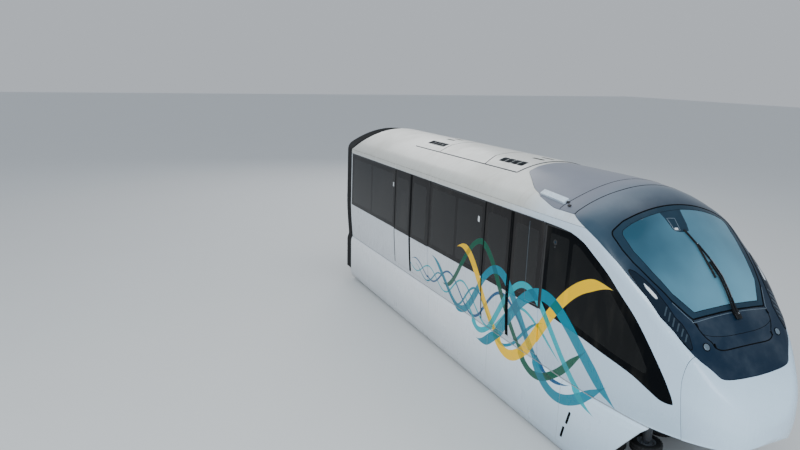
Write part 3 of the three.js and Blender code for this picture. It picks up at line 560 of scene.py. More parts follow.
def add_panel(shape, outline, holes=(), regions=(), top=0.0, bottom=-WALL, bevel=0.003, slots=(0, 0, 0)):
    """A curved panel between two depths along the body's normals, with rounded edges.

    regions are pairs of outline and material number; slots are the numbers of the outer, rim and inner faces.
    """
    outers = [without_repeats(loop) for loop in (outline, *holes)]
    loops = [inset(outers[0], bevel)] + [inset(hole, -bevel) for hole in outers[1:]]
    lines = [without_repeats(region) for region, _ in regions]
    interior = grid_inside(loops)
    if lines:
        taken = np.array([flat(*p) for line in lines for p in line])
        interior = [p for p in interior if np.min(np.hypot(*(taken - np.array(flat(*p))).T)) > GRID_CLEARANCE]
    nodes, triangles, centres = triangulate(loops, lines, interior)
    face_slots = [slots[0]] * len(triangles)
    for line, (_, number) in zip(lines, regions):
        for k in np.nonzero(inside(centres, [flat(*p) for p in line]))[0]:
            face_slots[k] = number
    normals = [skin_normal(*p) for p in nodes]
    high = [skin(*p) + n * top for p, n in zip(nodes, normals)]
    low = [skin(*p) + n * bottom for p, n in zip(nodes, normals)]
    start = len(shape.points)
    shape.points += [tuple(p) for p in high + low]
    count = len(nodes)
    for face, slot in zip(triangles, face_slots):
        a, b, c = (high[i] for i in face)
        if (b - a).cross(c - a).dot(normals[face[0]]) <= 0:
            face = face[::-1]
        shape.add([start + i for i in face], [normals[i] for i in face], slot)
        shape.add([start + count + i for i in reversed(face)], [-normals[i] for i in reversed(face)],
                  slots[2] if slot == slots[0] else slot)
    first = 0
    for outer, loop in zip(outers, loops):
        last = first + len(loop)
        rings = range(start + first, start + last), range(start + count + first, start + count + last)
        add_rim(shape, outer, loop, normals[first:last], rings, (top - bevel, bottom), slots[1])
        first = last


def add_rim(shape, outer, loop, normals, rings, depths, slot):
    """Bevel, edge wall and lower bevel round one outline of a panel; rings are its upper and lower points."""
    count = len(outer)
    start = len(shape.points)
    shape.points += [tuple(place(*p, depth)) for depth in depths for p in outer]
    high, low = range(start, start + count), range(start + count, start + 2 * count)
    sideways = []
    for p, q, n in zip(outer, loop, normals):
        away = skin(*p) - skin(*q)
        away -= n * away.dot(n)
        sideways.append(away.normalized() if away.length > 1e-7 else n)
    down = [-n for n in normals]
    bands = [
        (rings[0], normals, high, sideways),
        (high, sideways, low, sideways),
        (low, down, rings[1], down),
    ]
    for ring_a, normals_a, ring_b, normals_b in bands:
        for i in range(count):
            j = (i + 1) % count
            face = [ring_a[i], ring_a[j], ring_b[j], ring_b[i]]
            corner = [normals_a[i], normals_a[j], normals_b[j], normals_b[i]]
            p = [Vector(shape.points[k]) for k in face]
            facing = (p[1] - p[0]).cross(p[3] - p[0]) + (p[2] - p[3]).cross(p[2] - p[1])
            if facing.dot(sum(corner, Vector())) < 0:
                face.reverse()
                corner.reverse()
            shape.add(face, corner, slot)


def finished(obj, body, replaced=()):
    """Put a piece on its body, with the nodes that it stands for."""
    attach(obj, body)
    if replaced:
        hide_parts(*replaced)


def panel_piece(name, outline, materials, replaced=(), slot=None, gap=0.0, **shape_options):
    """A curved panel on the car's body; gap draws its outline in."""
    shape = Shape()
    add_panel(shape, inset(without_repeats(outline), gap) if gap else outline, **shape_options)
    finished(shape.make(name, materials), CAR_BODY, replaced)


# Node trees

def linear(r, g, b):
    """Linear colour from red, green and blue as seen on a screen, 0 to 255."""
    levels = (r, g, b)
    return tuple(((c / 255 + 0.055) / 1.055) ** 2.4 if c > 10 else c / 255 / 12.92 for c in levels) + (1.0,)


class Value:
    """A number in a node tree, with the usual arithmetic."""

    def __init__(self, net, socket):
        self.net, self.socket = net, socket

    def __add__(self, other):
        return self.net.math("ADD", self, other)

    def __sub__(self, other):
        return self.net.math("SUBTRACT", self, other)

    def __rsub__(self, other):
        return self.net.math("SUBTRACT", other, self)

    def __mul__(self, other):
        return self.net.math("MULTIPLY", self, other)

    def __truediv__(self, other):
        return self.net.math("DIVIDE", self, other)

    __radd__ = __add__
    __rmul__ = __mul__


class Net:
    """Short forms for adding nodes to a tree."""

    def __init__(self, tree):
        self.tree = tree
        self.object = self.node("TexCoord").outputs["Object"]

    def node(self, kind, sockets=None, **settings):
        node = self.tree.nodes.new("ShaderNode" + kind)
        for key, value in settings.items():
            setattr(node, key, value)
        for key, value in (sockets or {}).items():
            self.feed(node.inputs[key], value)
        return node

    def feed(self, socket, value):
        if isinstance(value, Value):
            value = value.socket
        if isinstance(value, bpy.types.NodeSocket):
            self.tree.links.new(value, socket)
        else:
            socket.default_value = value

    def math(self, operation, *values):
        node = self.node("Math", operation=operation)
        for socket, value in zip(node.inputs, values):
            self.feed(socket, value)
        return Value(self, node.outputs[0])

    def axes(self, vector=None):
        parts = self.node("SeparateXYZ", {0: vector or self.object})
        return [Value(self, parts.outputs[i]) for i in range(3)]

    def scaled(self, x, y, z):
        return self.node("Mapping", {"Vector": self.object, "Scale": (x, y, z)}).outputs[0]

    def noise(self, scale, detail=4.0, vector=None, rough=0.55):
        node = self.node("TexNoise", {
            "Vector": vector or self.object, "Scale": scale, "Detail": detail, "Roughness": rough})
        return Value(self, node.outputs["Fac"])

    def step(self, value, low, high, to_low=0.0, to_high=1.0):
        """Value mapped smoothly from one range to another, and held at its ends."""
        node = self.node("MapRange", {
            "Value": value, "From Min": low, "From Max": high, "To Min": to_low, "To Max": to_high},
            interpolation_type="SMOOTHSTEP")
        return Value(self, node.outputs[0])

    def mix(self, factor, a, b, blend="MIX"):
        node = self.node("Mix", data_type="RGBA", blend_type=blend)
        self.feed(node.inputs[0], factor)
        self.feed(node.inputs[6], a)
        self.feed(node.inputs[7], b)
        return node.outputs[2]

    def bump(self, height, distance, strength=1.0, normal=None):
        sockets = {"Height": height, "Distance": distance, "Strength": strength}
        if normal:
            sockets["Normal"] = normal
        return self.node("Bump", sockets).outputs[0]

    def relief(self, *layers):
        """Normal from layers of noise, coarsest first: scale, detail, distance and strength of each."""
        normal = None
        for scale, detail, distance, strength in layers:
            normal = self.bump(self.noise(scale, detail), distance, strength, normal)
        return normal

    def into(self, shader, **inputs):
        """Feed the shader's inputs, named with _ for their spaces."""
        for key, value in inputs.items():
            self.feed(shader.inputs[key.replace("_", " ")], value)


def new_material(name, colour, **principled):
    """A material with its shader: returns the material, its net and its Principled node."""
    material = bpy.data.materials.new(name)
    material.use_nodes = True
    material.diffuse_color = colour
    shader = material.node_tree.nodes["Principled BSDF"]
    net = Net(material.node_tree)
    for key, value in principled.items():
        shader.inputs[key.replace("_", " ")].default_value = value
    return material, net, shader


TEAL = linear(0, 126, 148)
PALE_TEAL = linear(14, 168, 180)
GREEN = linear(0, 84, 62)
YELLOW = linear(255, 200, 0)
DEEP_TEAL = linear(0, 78, 122)

# Ribbons of the side's design: colour, middle height, swing, wave number, its growth to the front, phase,
# half width, first and last x
RIBBONS = [
    (PALE_TEAL, 0.98, 0.50, 3.6, -0.30, 0.4, 0.034, -2.60, 3.9),
    (DEEP_TEAL, 1.02, 0.58, 3.2, -0.24, 2.5, 0.040, -2.35, 4.2),
    (TEAL, 0.92, 0.52, 3.9, -0.34, 4.6, 0.036, -2.15, 3.4),
    (GREEN, 1.50, 1.20, 2.05, -0.13, 5.9, 0.078, -0.70, 4.5),
    (TEAL, 1.15, 0.96, 2.2, -0.12, 4.4, 0.100, -1.20, 4.95),
    (YELLOW, 1.40, 1.16, 1.9, -0.10, 1.1, 0.110, 0.00, 4.90),
    (PALE_TEAL, 1.10, 0.88, 2.5, -0.15, 2.2, 0.070, 0.30, 4.80),
    (TEAL, 0.95, 0.98, 1.75, -0.08, 3.0, 0.120, 1.00, 5.15),
]
TAPER = 0.55


def design_group():
    """Node group with the side's generic design: crossing ribbons that swell towards the nose."""
    tree = bpy.data.node_groups.new("side_design", "ShaderNodeTree")
    tree.interface.new_socket("Colour", in_out="OUTPUT", socket_type="NodeSocketColor")
    tree.interface.new_socket("Cover", in_out="OUTPUT", socket_type="NodeSocketFloat")
    net = Net(tree)
    x, _, z = net.axes()
    swell = net.step(x, -2.6, 3.4, 0.25, 1.0)
    colour, cover = None, None
    for tint, middle, swing, wave, growth, phase, half, start, end in RIBBONS:
        turn = x * wave + x * x * growth + phase
        height = middle + net.math("SINE", turn) * swell * swing
        slope = net.math("COSINE", turn) * (x * (2 * growth) + wave) * swell * swing
        away = net.math("ABSOLUTE", z - height) / net.math("SQRT", slope * slope + 1)
        ends = net.step(x, start, start + TAPER) * net.step(x, end - TAPER, end, 1.0, 0.0)
        thick = (swell * 0.6 + 0.4) * ends * half
        mask = net.step(away - thick, -0.006, 0.0, 1.0, 0.0)
        if colour is None:
            colour, cover = net.mix(1.0, tint, tint), mask
            continue
        both = net.mix(0.55, tint, colour, "MULTIPLY")
        over = net.mix(cover * 0.75, tint, both)
        colour = net.mix(mask, colour, over)
        cover = net.math("MAXIMUM", cover, mask)
    output = tree.nodes.new("NodeGroupOutput")
    tree.links.new(colour, output.inputs["Colour"])
    tree.links.new(cover.socket, output.inputs["Cover"])
    return tree


DESIGN = design_group()
# Multipliers of the white paint: a painted bluish sky reflection, painted shade on the side wall behind the
# nose and painted shade low on the skirt
PAINTED_SKY_TINT = (0.64, 0.84, 1.0, 1.0)
PAINTED_WALL_SHADE = (0.72, 0.735, 0.755, 1.0)
PAINTED_SKIRT_SHADE = (0.66, 0.67, 0.68, 1.0)
ROOF_COLOUR = linear(206, 205, 198)


def with_design(net, colour, strength=1.0):
    group = net.node("Group")
    group.node_tree = DESIGN
    cover = Value(net, group.outputs["Cover"]) * strength
    return net.mix(cover, colour, group.outputs["Colour"]), cover


def paint(name, colour, rough=0.26, dirt=0.10, design=False, coat=0.25):
    """Gloss coach paint: slight tone shifts, faint rain streaks, soft waves in the sheet and orange peel;
    with the design also a painted bluish sky reflection, painted shade on the wall and skirt, and the roof's
    colour along the eave.
    """
    material, net, shader = new_material(name, colour, Coat_Weight=coat, Coat_Roughness=0.05,
                                         Specular_IOR_Level=0.35)
    x, _, z = net.axes()
    tone = net.noise(1.1, 5)
    streaks = net.noise(2.0, 6, net.scaled(5.0, 5.0, 0.35))
    low = net.step(z, 1.6, -0.7)
    grime = (net.step(streaks, 0.46, 0.72) * 0.5 + low * net.noise(3.0, 6) * 0.9) * dirt
    shade = net.mix(net.step(tone, 0.3, 0.7) * 0.35, colour, tuple(c * 0.93 for c in colour[:3]) + (1.0,))
    if design:
        # Painted sky reflection: the white turns bluer towards the nose
        shade = net.mix(net.step(x, -1.0, 6.5) * 0.8, shade, PAINTED_SKY_TINT, "MULTIPLY")
        # Painted shade: the side wall darker than the nose, most just above the skirt
        wall = net.step(z, 0.52, 0.60) * net.step(x, 6.0, 6.8, 1.0, 0.0) * net.step(z, 0.6, 1.2, 1.0, 0.72)
        shade = net.mix(wall, shade, PAINTED_WALL_SHADE, "MULTIPLY")
        # Painted shade: the skirt darker towards its foot
        shade = net.mix(net.step(z, 0.40, -0.80), shade, PAINTED_SKIRT_SHADE, "MULTIPLY")
        shade = net.mix(net.step(z, 3.24, 3.34) * net.step(x, 1.4, 3.0, 1.0, 0.0), shade, ROOF_COLOUR)
    base = net.mix(grime, shade, linear(120, 116, 108))
    if design:
        base, _ = with_design(net, base)
    net.into(shader, Base_Color=base, Roughness=grime * 0.9 + tone * 0.10 + (rough - 0.05),
             Normal=net.relief((0.9, 1, 0.010, 0.35), (220, 2, 0.0004, 0.25)))
    return material


def roof_paint(name, colour):
    """Matt roof paint with dust, rain marks across the camber, a faint grain and a pale bluish edge towards
    the cab, the side's white with its painted sky tint.
    """
    material, net, shader = new_material(name, colour, Coat_Weight=0.1, Coat_Roughness=0.3)
    x, y, _ = net.axes()
    blotch = net.noise(0.9, 8, rough=0.65)
    runs = net.noise(3.0, 6, net.scaled(3.5, 0.4, 0.4))
    dust = net.step(blotch, 0.42, 0.72) * 0.26 + net.step(runs, 0.5, 0.75) * 0.20
    # Towards the cab the roof's edge turns to the side's white, bluish with painted sky reflection
    edge = net.step(x, 2.2, 3.2) * net.step(net.math("ABSOLUTE", y), 1.15, 1.40)
    base = net.mix(dust, net.mix(edge, colour, linear(212, 222, 230)), linear(168, 162, 150))
    net.into(shader, Base_Color=base, Roughness=dust * 0.5 + 0.40,
             Normal=net.relief((1.2, 2, 0.010, 0.3), (160, 3, 0.0006, 0.4)))
    return material


def mask_paint(name):
    """Satin paint of the mask and hood: mid grey on the roof, slate blue round the screen, and on the mask's
    crown painted light on top and painted shade lower down.
    """
    front, middle, back = linear(10, 32, 50), linear(96, 108, 120), linear(118, 121, 131)
    material, net, shader = new_material(name, front, Specular_IOR_Level=0.18)
    x, _, z = net.axes()
    tone = net.noise(1.4, 6)
    # Painted light and shade: the crown lighter on top, darker lower down its sides
    crown = net.mix(net.step(z, 3.48, 3.86), linear(54, 74, 88), middle)
    colour = net.mix(net.step(x, 3.40, 4.15), back, crown)
    colour = net.mix(net.step(x - (3.86 - z) * 0.8, 3.75, 4.55), colour, front)
    dusty = net.mix(net.step(tone, 0.40, 0.75) * 0.10, colour, linear(150, 156, 162))
    net.into(shader, Base_Color=dusty, Roughness=tone * 0.14 + 0.24,
             Normal=net.relief((1.0, 1, 0.008, 0.3), (240, 2, 0.0004, 0.3)))
    return material


def dark_glass(name, colour, transmission, rough=0.03, design=0.0, gloss=0.25):
    """Tinted glass with faint dust, slight roller waves and, where asked, the design as a printed film."""
    material, net, shader = new_material(name, colour, IOR=1.45, Specular_IOR_Level=gloss)
    dust = net.noise(1.6, 3, net.scaled(2.0, 2.0, 0.5))
    base = net.mix(net.step(dust, 0.45, 0.8) * 0.07, colour, linear(128, 122, 112))
    clear = net.step(dust, 0.45, 0.8, transmission, transmission * 0.94)
    if design:
        base, cover = with_design(net, base, design)
        clear = clear * (1 - cover)
    net.into(shader, Base_Color=base, Transmission_Weight=clear,
             Roughness=net.step(dust, 0.4, 0.8, rough, rough + 0.07),
             Normal=net.bump(net.noise(1.2, 1, net.scaled(1.6, 1.6, 0.4)), 0.004, 0.3))
    return material


def screen_glass(name):
    """Windscreen: blue-green tinted glass with a painted reflection, paler towards its foot and its left side
    and in slow patches.
    """
    deep, pale = linear(40, 84, 104), linear(118, 176, 198)
    material, net, shader = new_material(name, deep, IOR=1.45, Specular_IOR_Level=0.28)
    x, y, _ = net.axes()
    patches = net.noise(0.7, 3, rough=0.4)
    # Painted reflection: the glass paler towards its foot, its left side and in slow patches
    light = net.step(y, -0.7, 0.5) * 0.36 + net.step(x, 4.9, 5.6) * 0.48
    light = light + net.step(patches, 0.35, 0.65) * 0.24
    net.into(shader, Base_Color=net.mix(light, deep, pale),
             Transmission_Weight=net.step(patches, 0.3, 0.7, 0.34, 0.28),
             Roughness=net.step(net.noise(1.6, 3), 0.4, 0.8, 0.05, 0.12),
             Normal=net.relief((1.2, 1, 0.003, 0.2)))
    return material


def plain(name, colour, rough=0.5, metal=0.0, grain=180.0, depth=0.0006, wear=0.15, worn=None, **extra):
    """Moulded, painted or cast surface: tone shifts, grain bump and lighter or dirtier wear."""
    material, net, shader = new_material(name, colour, Metallic=metal, **extra)
    tone = net.noise(2.2, 7, rough=0.6)
    fine = net.noise(grain, 3)
    patch = net.step(net.noise(7.0, 8, rough=0.7), 0.5, 0.75) * wear
    shade = net.mix(net.step(tone, 0.3, 0.7), colour, tuple(c * 0.82 for c in colour[:3]) + (1.0,))
    net.into(shader, Base_Color=net.mix(patch, shade, worn or linear(140, 132, 120)),
             Roughness=patch * 0.5 + tone * 0.14 + (rough - 0.07),
             Normal=net.bump(fine, depth, 0.5, net.bump(tone, 0.004, 0.25)))
    return material


WHITE = paint("white_paint", linear(244, 247, 250), dirt=0.07, design=True)
INNER_WHITE = paint("inner_white_paint", linear(206, 209, 212), rough=0.40, coat=0.2)
ROOF = roof_paint("roof_paint", ROOF_COLOUR)
MASK = mask_paint("mask_paint")
FRIT = dark_glass("black_frit_glass", linear(30, 28, 28), 0.0, 0.06, design=1.0, gloss=0.20)
TINTED = dark_glass("tinted_glass", linear(38, 36, 36), 0.55, 0.03, design=0.94, gloss=0.22)
CAB_FRIT = dark_glass("cab_frit_glass", linear(5, 7, 10), 0.0, 0.06, design=1.0, gloss=0.06)
CAB_TINT = dark_glass("cab_tinted_glass", linear(10, 12, 14), 0.28, 0.03, design=0.94, gloss=0.08)
SCREEN = screen_glass("windscreen_glass")
SCREEN_FRIT = plain("screen_frit", linear(34, 54, 68), 0.24, wear=0.02, grain=300, depth=0.0001,
                    Specular_IOR_Level=0.06)
LAMP_GLASS = plain("lamp_glass", linear(20, 32, 44), 0.16, wear=0.02, grain=300, depth=0.0001,
                   Specular_IOR_Level=0.12)
LINER = plain("interior_panel", linear(205, 205, 200), 0.5, wear=0.06)
SEAL = plain("seal_rubber", linear(16, 16, 17), 0.6, wear=0.08)
LEAF_EDGE = plain("leaf_edge", linear(60, 58, 58), 0.5, wear=0.05)
DOORWAY = plain("doorway_surround", linear(54, 52, 52), 0.6, wear=0.05)
BELLOWS = plain("bellows_rubber", linear(26, 26, 28), 0.62, wear=0.22, worn=linear(96, 92, 86), grain=90)
DIRT = linear(104, 92, 76)
STEEL = plain("underframe_paint", linear(74, 77, 80), 0.5, wear=0.3, worn=DIRT)
BOGIE = plain("bogie_paint", linear(58, 61, 66), 0.48, wear=0.32, worn=DIRT)
MOTOR = plain("motor_paint", linear(96, 104, 112), 0.45, wear=0.25, worn=DIRT)
RIMS = plain("rim_paint", linear(126, 130, 136), 0.38, 0.35, wear=0.3, worn=linear(98, 88, 76))
TYRE = plain("tyre_rubber", linear(24, 24, 25), 0.75, wear=0.3, worn=linear(92, 86, 78), grain=60,
             depth=0.001)
ALUMINIUM = plain("aluminium", linear(178, 180, 184), 0.34, 0.9, wear=0.12, grain=320, depth=0.0002)
BRIGHT = plain("handrail_steel", linear(200, 202, 205), 0.22, 1.0, wear=0.05, grain=400, depth=0.0001)
FLOORING = plain("floor_covering", linear(96, 100, 104), 0.62, wear=0.18, grain=520, depth=0.0003)
HOUSING = plain("housing_panel", linear(150, 154, 158), 0.5, wear=0.10)
SEATS = plain("seat_plastic", linear(32, 96, 128), 0.42, wear=0.05, grain=140)
BLACK = plain("satin_black", linear(18, 19, 21), 0.36, wear=0.06)
LAMP = plain("lamp_lens", linear(235, 238, 240), 0.12, wear=0.03, grain=240, Coat_Weight=0.8)
# Black rubber, seals and joint lines; also the black plugs and patches of painted shade in the skirt's and
# air unit's slots
DARK = plain("black_trim_and_painted_slot_shade", linear(7, 8, 10), 0.7, wear=0.02, Specular_IOR_Level=0.06)
ARM = plain("wiper_black", linear(10, 12, 15), 0.45, wear=0.05, Specular_IOR_Level=0.18)
# Lamp reflector and trim rings, also the pale lines of painted highlight on the screen's foot seal and on a
# pane's edge in a front leaf
REFLECTOR_AND_HIGHLIGHT = plain("lamp_reflector_and_painted_highlight", linear(96, 112, 124), 0.35, 0.2, wear=0.03, grain=240, Coat_Weight=0.3)
LAMP_RIB = plain("lamp_rib", linear(40, 58, 70), 0.30, wear=0.03, grain=240, Coat_Weight=0.3)

# Panel outlines: x and z seen from the side, x and |y| seen from above, with an optional corner radius
MASK_EDGE = [
    (3.728, 3.547), (4.352, 3.291), (4.761, 3.045), (5.138, 2.777), (5.466, 2.532), (5.767, 2.245),
    (6.055, 1.954), (6.251, 1.748), (6.379, 1.594), (6.430, 1.552),
]
ROOF_SEAM = [(3.728, 1.400), (3.748, 1.160), (3.782, 0.870), (3.822, 0.530), (3.835, 0.170), (3.836, 0.0)]
HOOD_SEAM = [(3.352, 1.470), (3.390, 1.234), (3.423, 0.977), (3.447, 0.663), (3.452, 0.352), (3.452, 0.0)]
PANEL_REAR = [(1.40, 0.0), (1.41, 0.50), (1.49, 0.80, 0.12), (1.80, 0.97)]
PANEL_SIDE = [(2.261, 1.220), (2.600, 1.345), (2.885, 1.425)]
PANEL_SHOULDER = [(3.200, 3.557), (3.450, 3.552)]
SCREEN_EDGE = [
    (4.430, 0.0), (4.430, 0.600), (4.432, 1.050, 0.25), (4.484, 1.335, 0.09), (4.744, 1.308), (4.963, 1.256),
    (5.268, 1.136), (5.543, 0.992), (5.791, 0.789, 0.06), (5.806, 0.400), (5.808, 0.0),
]
SCREEN_CLEAR = [
    (4.524, 0.0), (4.522, 0.641), (4.524, 0.941, 0.2), (4.551, 1.190, 0.08), (4.841, 1.159), (5.170, 1.052),
    (5.472, 0.929), (5.727, 0.706, 0.05), (5.740, 0.284), (5.738, 0.0),
]
CAB_PANE_CURVE = [
    (3.790, 3.250), (4.092, 3.175), (4.340, 3.035), (4.688, 2.800), (4.943, 2.569), (5.254, 2.278),
    (5.479, 1.997), (5.730, 1.623), (5.903, 1.317), (5.975, 1.120), (5.955, 1.072), (5.801, 1.080),
    (5.636, 1.165), (5.378, 1.295), (5.100, 1.380), (4.799, 1.445), (4.508, 1.505), (4.144, 1.560),
    (3.600, 1.612),
]
CAB_OPENING = [
    (3.890, 1.723, 0.08), (3.890, 3.110, 0.08), (4.080, 3.040, 0.2), (4.560, 2.730, 0.3), (4.860, 2.450, 0.3),
    (5.160, 2.130, 0.3), (5.380, 1.830, 0.3), (5.560, 1.530, 0.06), (5.560, 1.420, 0.04), (5.150, 1.500, 0.3),
    (4.700, 1.600, 0.3), (4.200, 1.690, 0.3),
]
COWL_EDGE = [(6.110, 1.898), (6.082, 1.765), (6.058, 1.600), (6.054, 1.440), (6.083, 1.090), (6.110, 0.600)]
COWL_TOP_X = COWL_EDGE[0][0]
COWL_FOOT_X = 6.112
CAB_TOP_X = (CAB_JOINT_X, 3.2, 3.35, 3.5, 3.65, 3.8, 3.95, 4.0845)
CAB_REAR_Z = (0.8, 1.2, 1.6, 2.0, 2.4, 2.8, 3.2)
CAB_PANE_REAR = 3.170
PANE_X = {"rear": (-6.640, -3.340), "middle": (-1.320, 1.140)}
OPENING_X = {
    "rear": [(-6.480, -5.050), (-4.950, -3.460)],
    "middle": [(-1.210, -0.090), (0.010, 1.040)],
    "cab": [(3.29, 3.79)],
}
OPENING_INSET = 0.110
DOOR_CENTRES = (-2.325, 2.145)
DOORWAY_HALF = 0.8
DOORWAY_Z = (0.7, 2.76)
LEAF_WIDTH = 0.978
LEAF_WINDOW = {"inset": 0.13, "bottom": 1.75, "top": 3.09}
MEET_GAP = 0.010
LEAF_Z = (0.706, 3.275)
LEAF_OUT, LEAF_IN = 0.0245, 0.0050
RUBBER_DEPTH = 0.0268
SEAM_GAP = 0.004
LAYER_GAP = 0.0005
ROOF_UNIT_HALF = 0.950
ROOF_UNIT_PROUD = 0.015
# Joints of the air unit's sections: x at its edge and along its middle
UNIT_JOINTS = [(-3.450, -3.450), (-2.065, -2.250), (0.070, -0.190), (1.290, 1.290)]
UNIT_X = (UNIT_JOINTS[0][0], UNIT_JOINTS[-1][0])

mask_line = side_line(spline(MASK_EDGE))
mask_line[-1] = (mask_line[-1][0], 0.0)
seam_line = [mask_line[0], *plan_line(spline(ROOF_SEAM), step=0.05)]
hood_line = plan_line(spline(HOOD_SEAM), step=0.05)
panel_rear = plan_line(rounded(PANEL_REAR), step=0.05)
panel_side = [panel_rear[-1], *[(x, t_from_plan(x, y)) for x, y in PANEL_SIDE],
              *[(x, t_from_side(x, z)) for x, z in PANEL_SHOULDER], mask_line[0]]
panel_line = panel_rear[:-1] + dense(spline(panel_side), closed=False)[:-1]
hood_join = min(range(len(panel_line)), key=lambda k: abs(panel_line[k][0] - HOOD_SEAM[0][0]))
screen_loop, clear_loop = (
    plan_loop([(x, -y, *r) for x, y, *r in half] + [(x, y, *r) for x, y, *r in reversed(half[1:-1])])
    for half in (SCREEN_EDGE, SCREEN_CLEAR))


def body_panel(name, outline, material, replaced, slot, gap=SEAM_GAP / 2, holes=()):
    """A panel of the body, painted outside and lined inside."""
    panel_piece(name, outline, [material, LINER], replaced, slot, gap, holes=holes, slots=(0, 0, 1))


# Roof shell, the grey panel behind the cab, and the mask with the windscreen let into it
eave_end = CAB_TOP_X[-1]
eave = side_line([(REAR, EAVE_Z), (eave_end - 0.002, EAVE_Z)], step=0.15)
roof_edge = eave + [p for p in reversed(mask_line) if p[0] < eave_end - 0.004] + panel_line[::-1]
unit_loop = plan_loop(rectangle(*UNIT_X, -ROOF_UNIT_HALF, ROOF_UNIT_HALF, 0.05))
body_panel("roof_skin", mirrored(roof_edge), ROOF, ["roof_shell"], "roof_paint", holes=[unit_loop])
body_panel("cab_roof_skin", mirrored(panel_line[:hood_join + 1] + hood_line[1:]), MASK, ["cab_roof_panel"],
           "grey_roof_panel")
body_panel("hood_strip", mirrored(hood_line[:0:-1] + panel_line[hood_join:] + seam_line), MASK, (),
           "grey_roof_panel")
body_panel("mask_skin", mirrored(seam_line[::-1] + mask_line[1:]), MASK, ["nose_mask"], "mask_paint",
           holes=[screen_loop])
panel_piece("windscreen_pane", screen_loop, [SCREEN_FRIT, SCREEN], ["windscreen"], "windscreen_glass", 0.006,
            regions=[(clear_loop, 1)], bottom=-GLASS, bevel=0.002)


def body_side(side, sign):
    """Wall, cab side and window panes of one side."""
    doorways = [side_loop(rectangle(x - DOORWAY_HALF, x + DOORWAY_HALF, *DOORWAY_Z, 0.06), sign)
                for x in DOOR_CENTRES]
    panes = {name: side_loop(rectangle(*ends, WAIST_Z, WINDOW_TOP_Z, 0.03), sign)
             for name, ends in PANE_X.items()}
    wall = side_loop(rectangle(REAR, CAB_JOINT_X - 0.001, SILL_Z, EAVE_Z - SEAM_GAP / 2), sign)
    body_panel(f"side_skin_{side}", wall, WHITE, [f"side_wall_{side}"], "white_paint", 0,
               [*panes.values(), *doorways])

    edge = [(x, t_from_side(x, EAVE_Z)) for x in CAB_TOP_X]
    edge += [p for p in mask_line if eave_end + 0.01 < p[0] < COWL_TOP_X - 0.005]
    edge += side_line(spline(COWL_EDGE))
    edge += dense([(COWL_FOOT_X, 3.0), (CAB_JOINT_X, 3.0)], 0.08, closed=False)
    edge += [(CAB_JOINT_X, t_from_side(CAB_JOINT_X, z)) for z in CAB_REAR_Z]
    rear_x = CAB_PANE_REAR
    pane_edge = [(rear_x, WINDOW_TOP_Z, 0.01), *spline(CAB_PANE_CURVE, 5), (rear_x, WAIST_Z, 0.10)]
    panes["cab"] = side_loop(pane_edge, sign)
    body_panel(f"cab_skin_{side}", [(x, sign * t) for x, t in edge], WHITE, [f"cab_side_{side}"],
               "white_paint", holes=[panes["cab"]])

    window_z = (WAIST_Z + OPENING_INSET, WINDOW_TOP_Z - OPENING_INSET)
    for name, loop in panes.items():
        openings = [side_loop(rectangle(*ends, *window_z, 0.06), sign) for ends in OPENING_X[name]]
        glass = [FRIT, TINTED]
        if name == "cab":
            openings.append(side_loop(CAB_OPENING, sign))
            glass = [CAB_FRIT, CAB_TINT]
        panel_piece(f"{name}_pane_{side}", loop, glass, [f"{name}_window_{side}"], "tinted_glass",
                    SEAM_GAP / 2, regions=[(opening, 1) for opening in openings], bottom=-GLASS, bevel=0.0015)
        panel_piece(f"{name}_window_frame_{side}", loop, [BLACK], slot="tinted_glass", holes=openings,
                    top=-GLASS - LAYER_GAP, bevel=0.002)


def leaf_ends(centre, way):
    """x of a leaf's meeting edge and of its far edge; way is -1 for the rear leaf."""
    near = centre + way * MEET_GAP / 2
    return near, near + way * LEAF_WIDTH


def door_leaf(name, centre, way, sign):
    x0, x1 = sorted(leaf_ends(centre, way))
    inset_x, bottom, top = LEAF_WINDOW.values()
    lower = side_loop(rectangle(x0, x1, LEAF_Z[0], WAIST_Z - 0.002, 0.006), sign)
    upper = side_loop(rectangle(x0, x1, WAIST_Z + 0.002, LEAF_Z[1], 0.006), sign)
    clear = side_loop(rectangle(x0 + inset_x, x1 - inset_x, bottom, top, 0.08), sign)
    glass_back = LEAF_OUT - GLASS
    leaf = Shape()
    add_panel(leaf, lower, top=LEAF_OUT, bottom=LEAF_IN, slots=(0, 0, 4))
    add_panel(leaf, upper, top=LEAF_OUT, bottom=glass_back, slots=(1, 5, 1), regions=[(clear, 2)],
              bevel=0.0015)
    add_panel(leaf, upper, top=glass_back - LAYER_GAP, bottom=LEAF_IN, holes=[clear], slots=(3, 5, 3),
              bevel=0.001)
    finished(leaf.make(f"{name}_panel", [WHITE, FRIT, TINTED, SEAL, LINER, LEAF_EDGE]), f"{name}_leaf_body",
             [f"{name}_leaf"])


# Numbers, centres, ends and directions of the leaves of one side
LEAVES = [(number, centre, end, way) for number, centre in enumerate(DOOR_CENTRES, 1)
          for end, way in (("rear", -1), ("front", 1))]
for side, sign in SIDES:
    body_side(side, sign)
    for number, centre, end, way in LEAVES:
        door_leaf(f"door_{number}_{side}_{end}", centre, way, sign)

# Nose cowl: rows round the section, columns from its joint to the tip, which is a little blunted
TIP_FROM = 6.680
TIP_BACK = 0.0085
COWL_COLUMNS = 40
COWL_FOOT = [(COWL_FOOT_X, 3.0), (6.113, 3.5), (6.113, 4.0)]


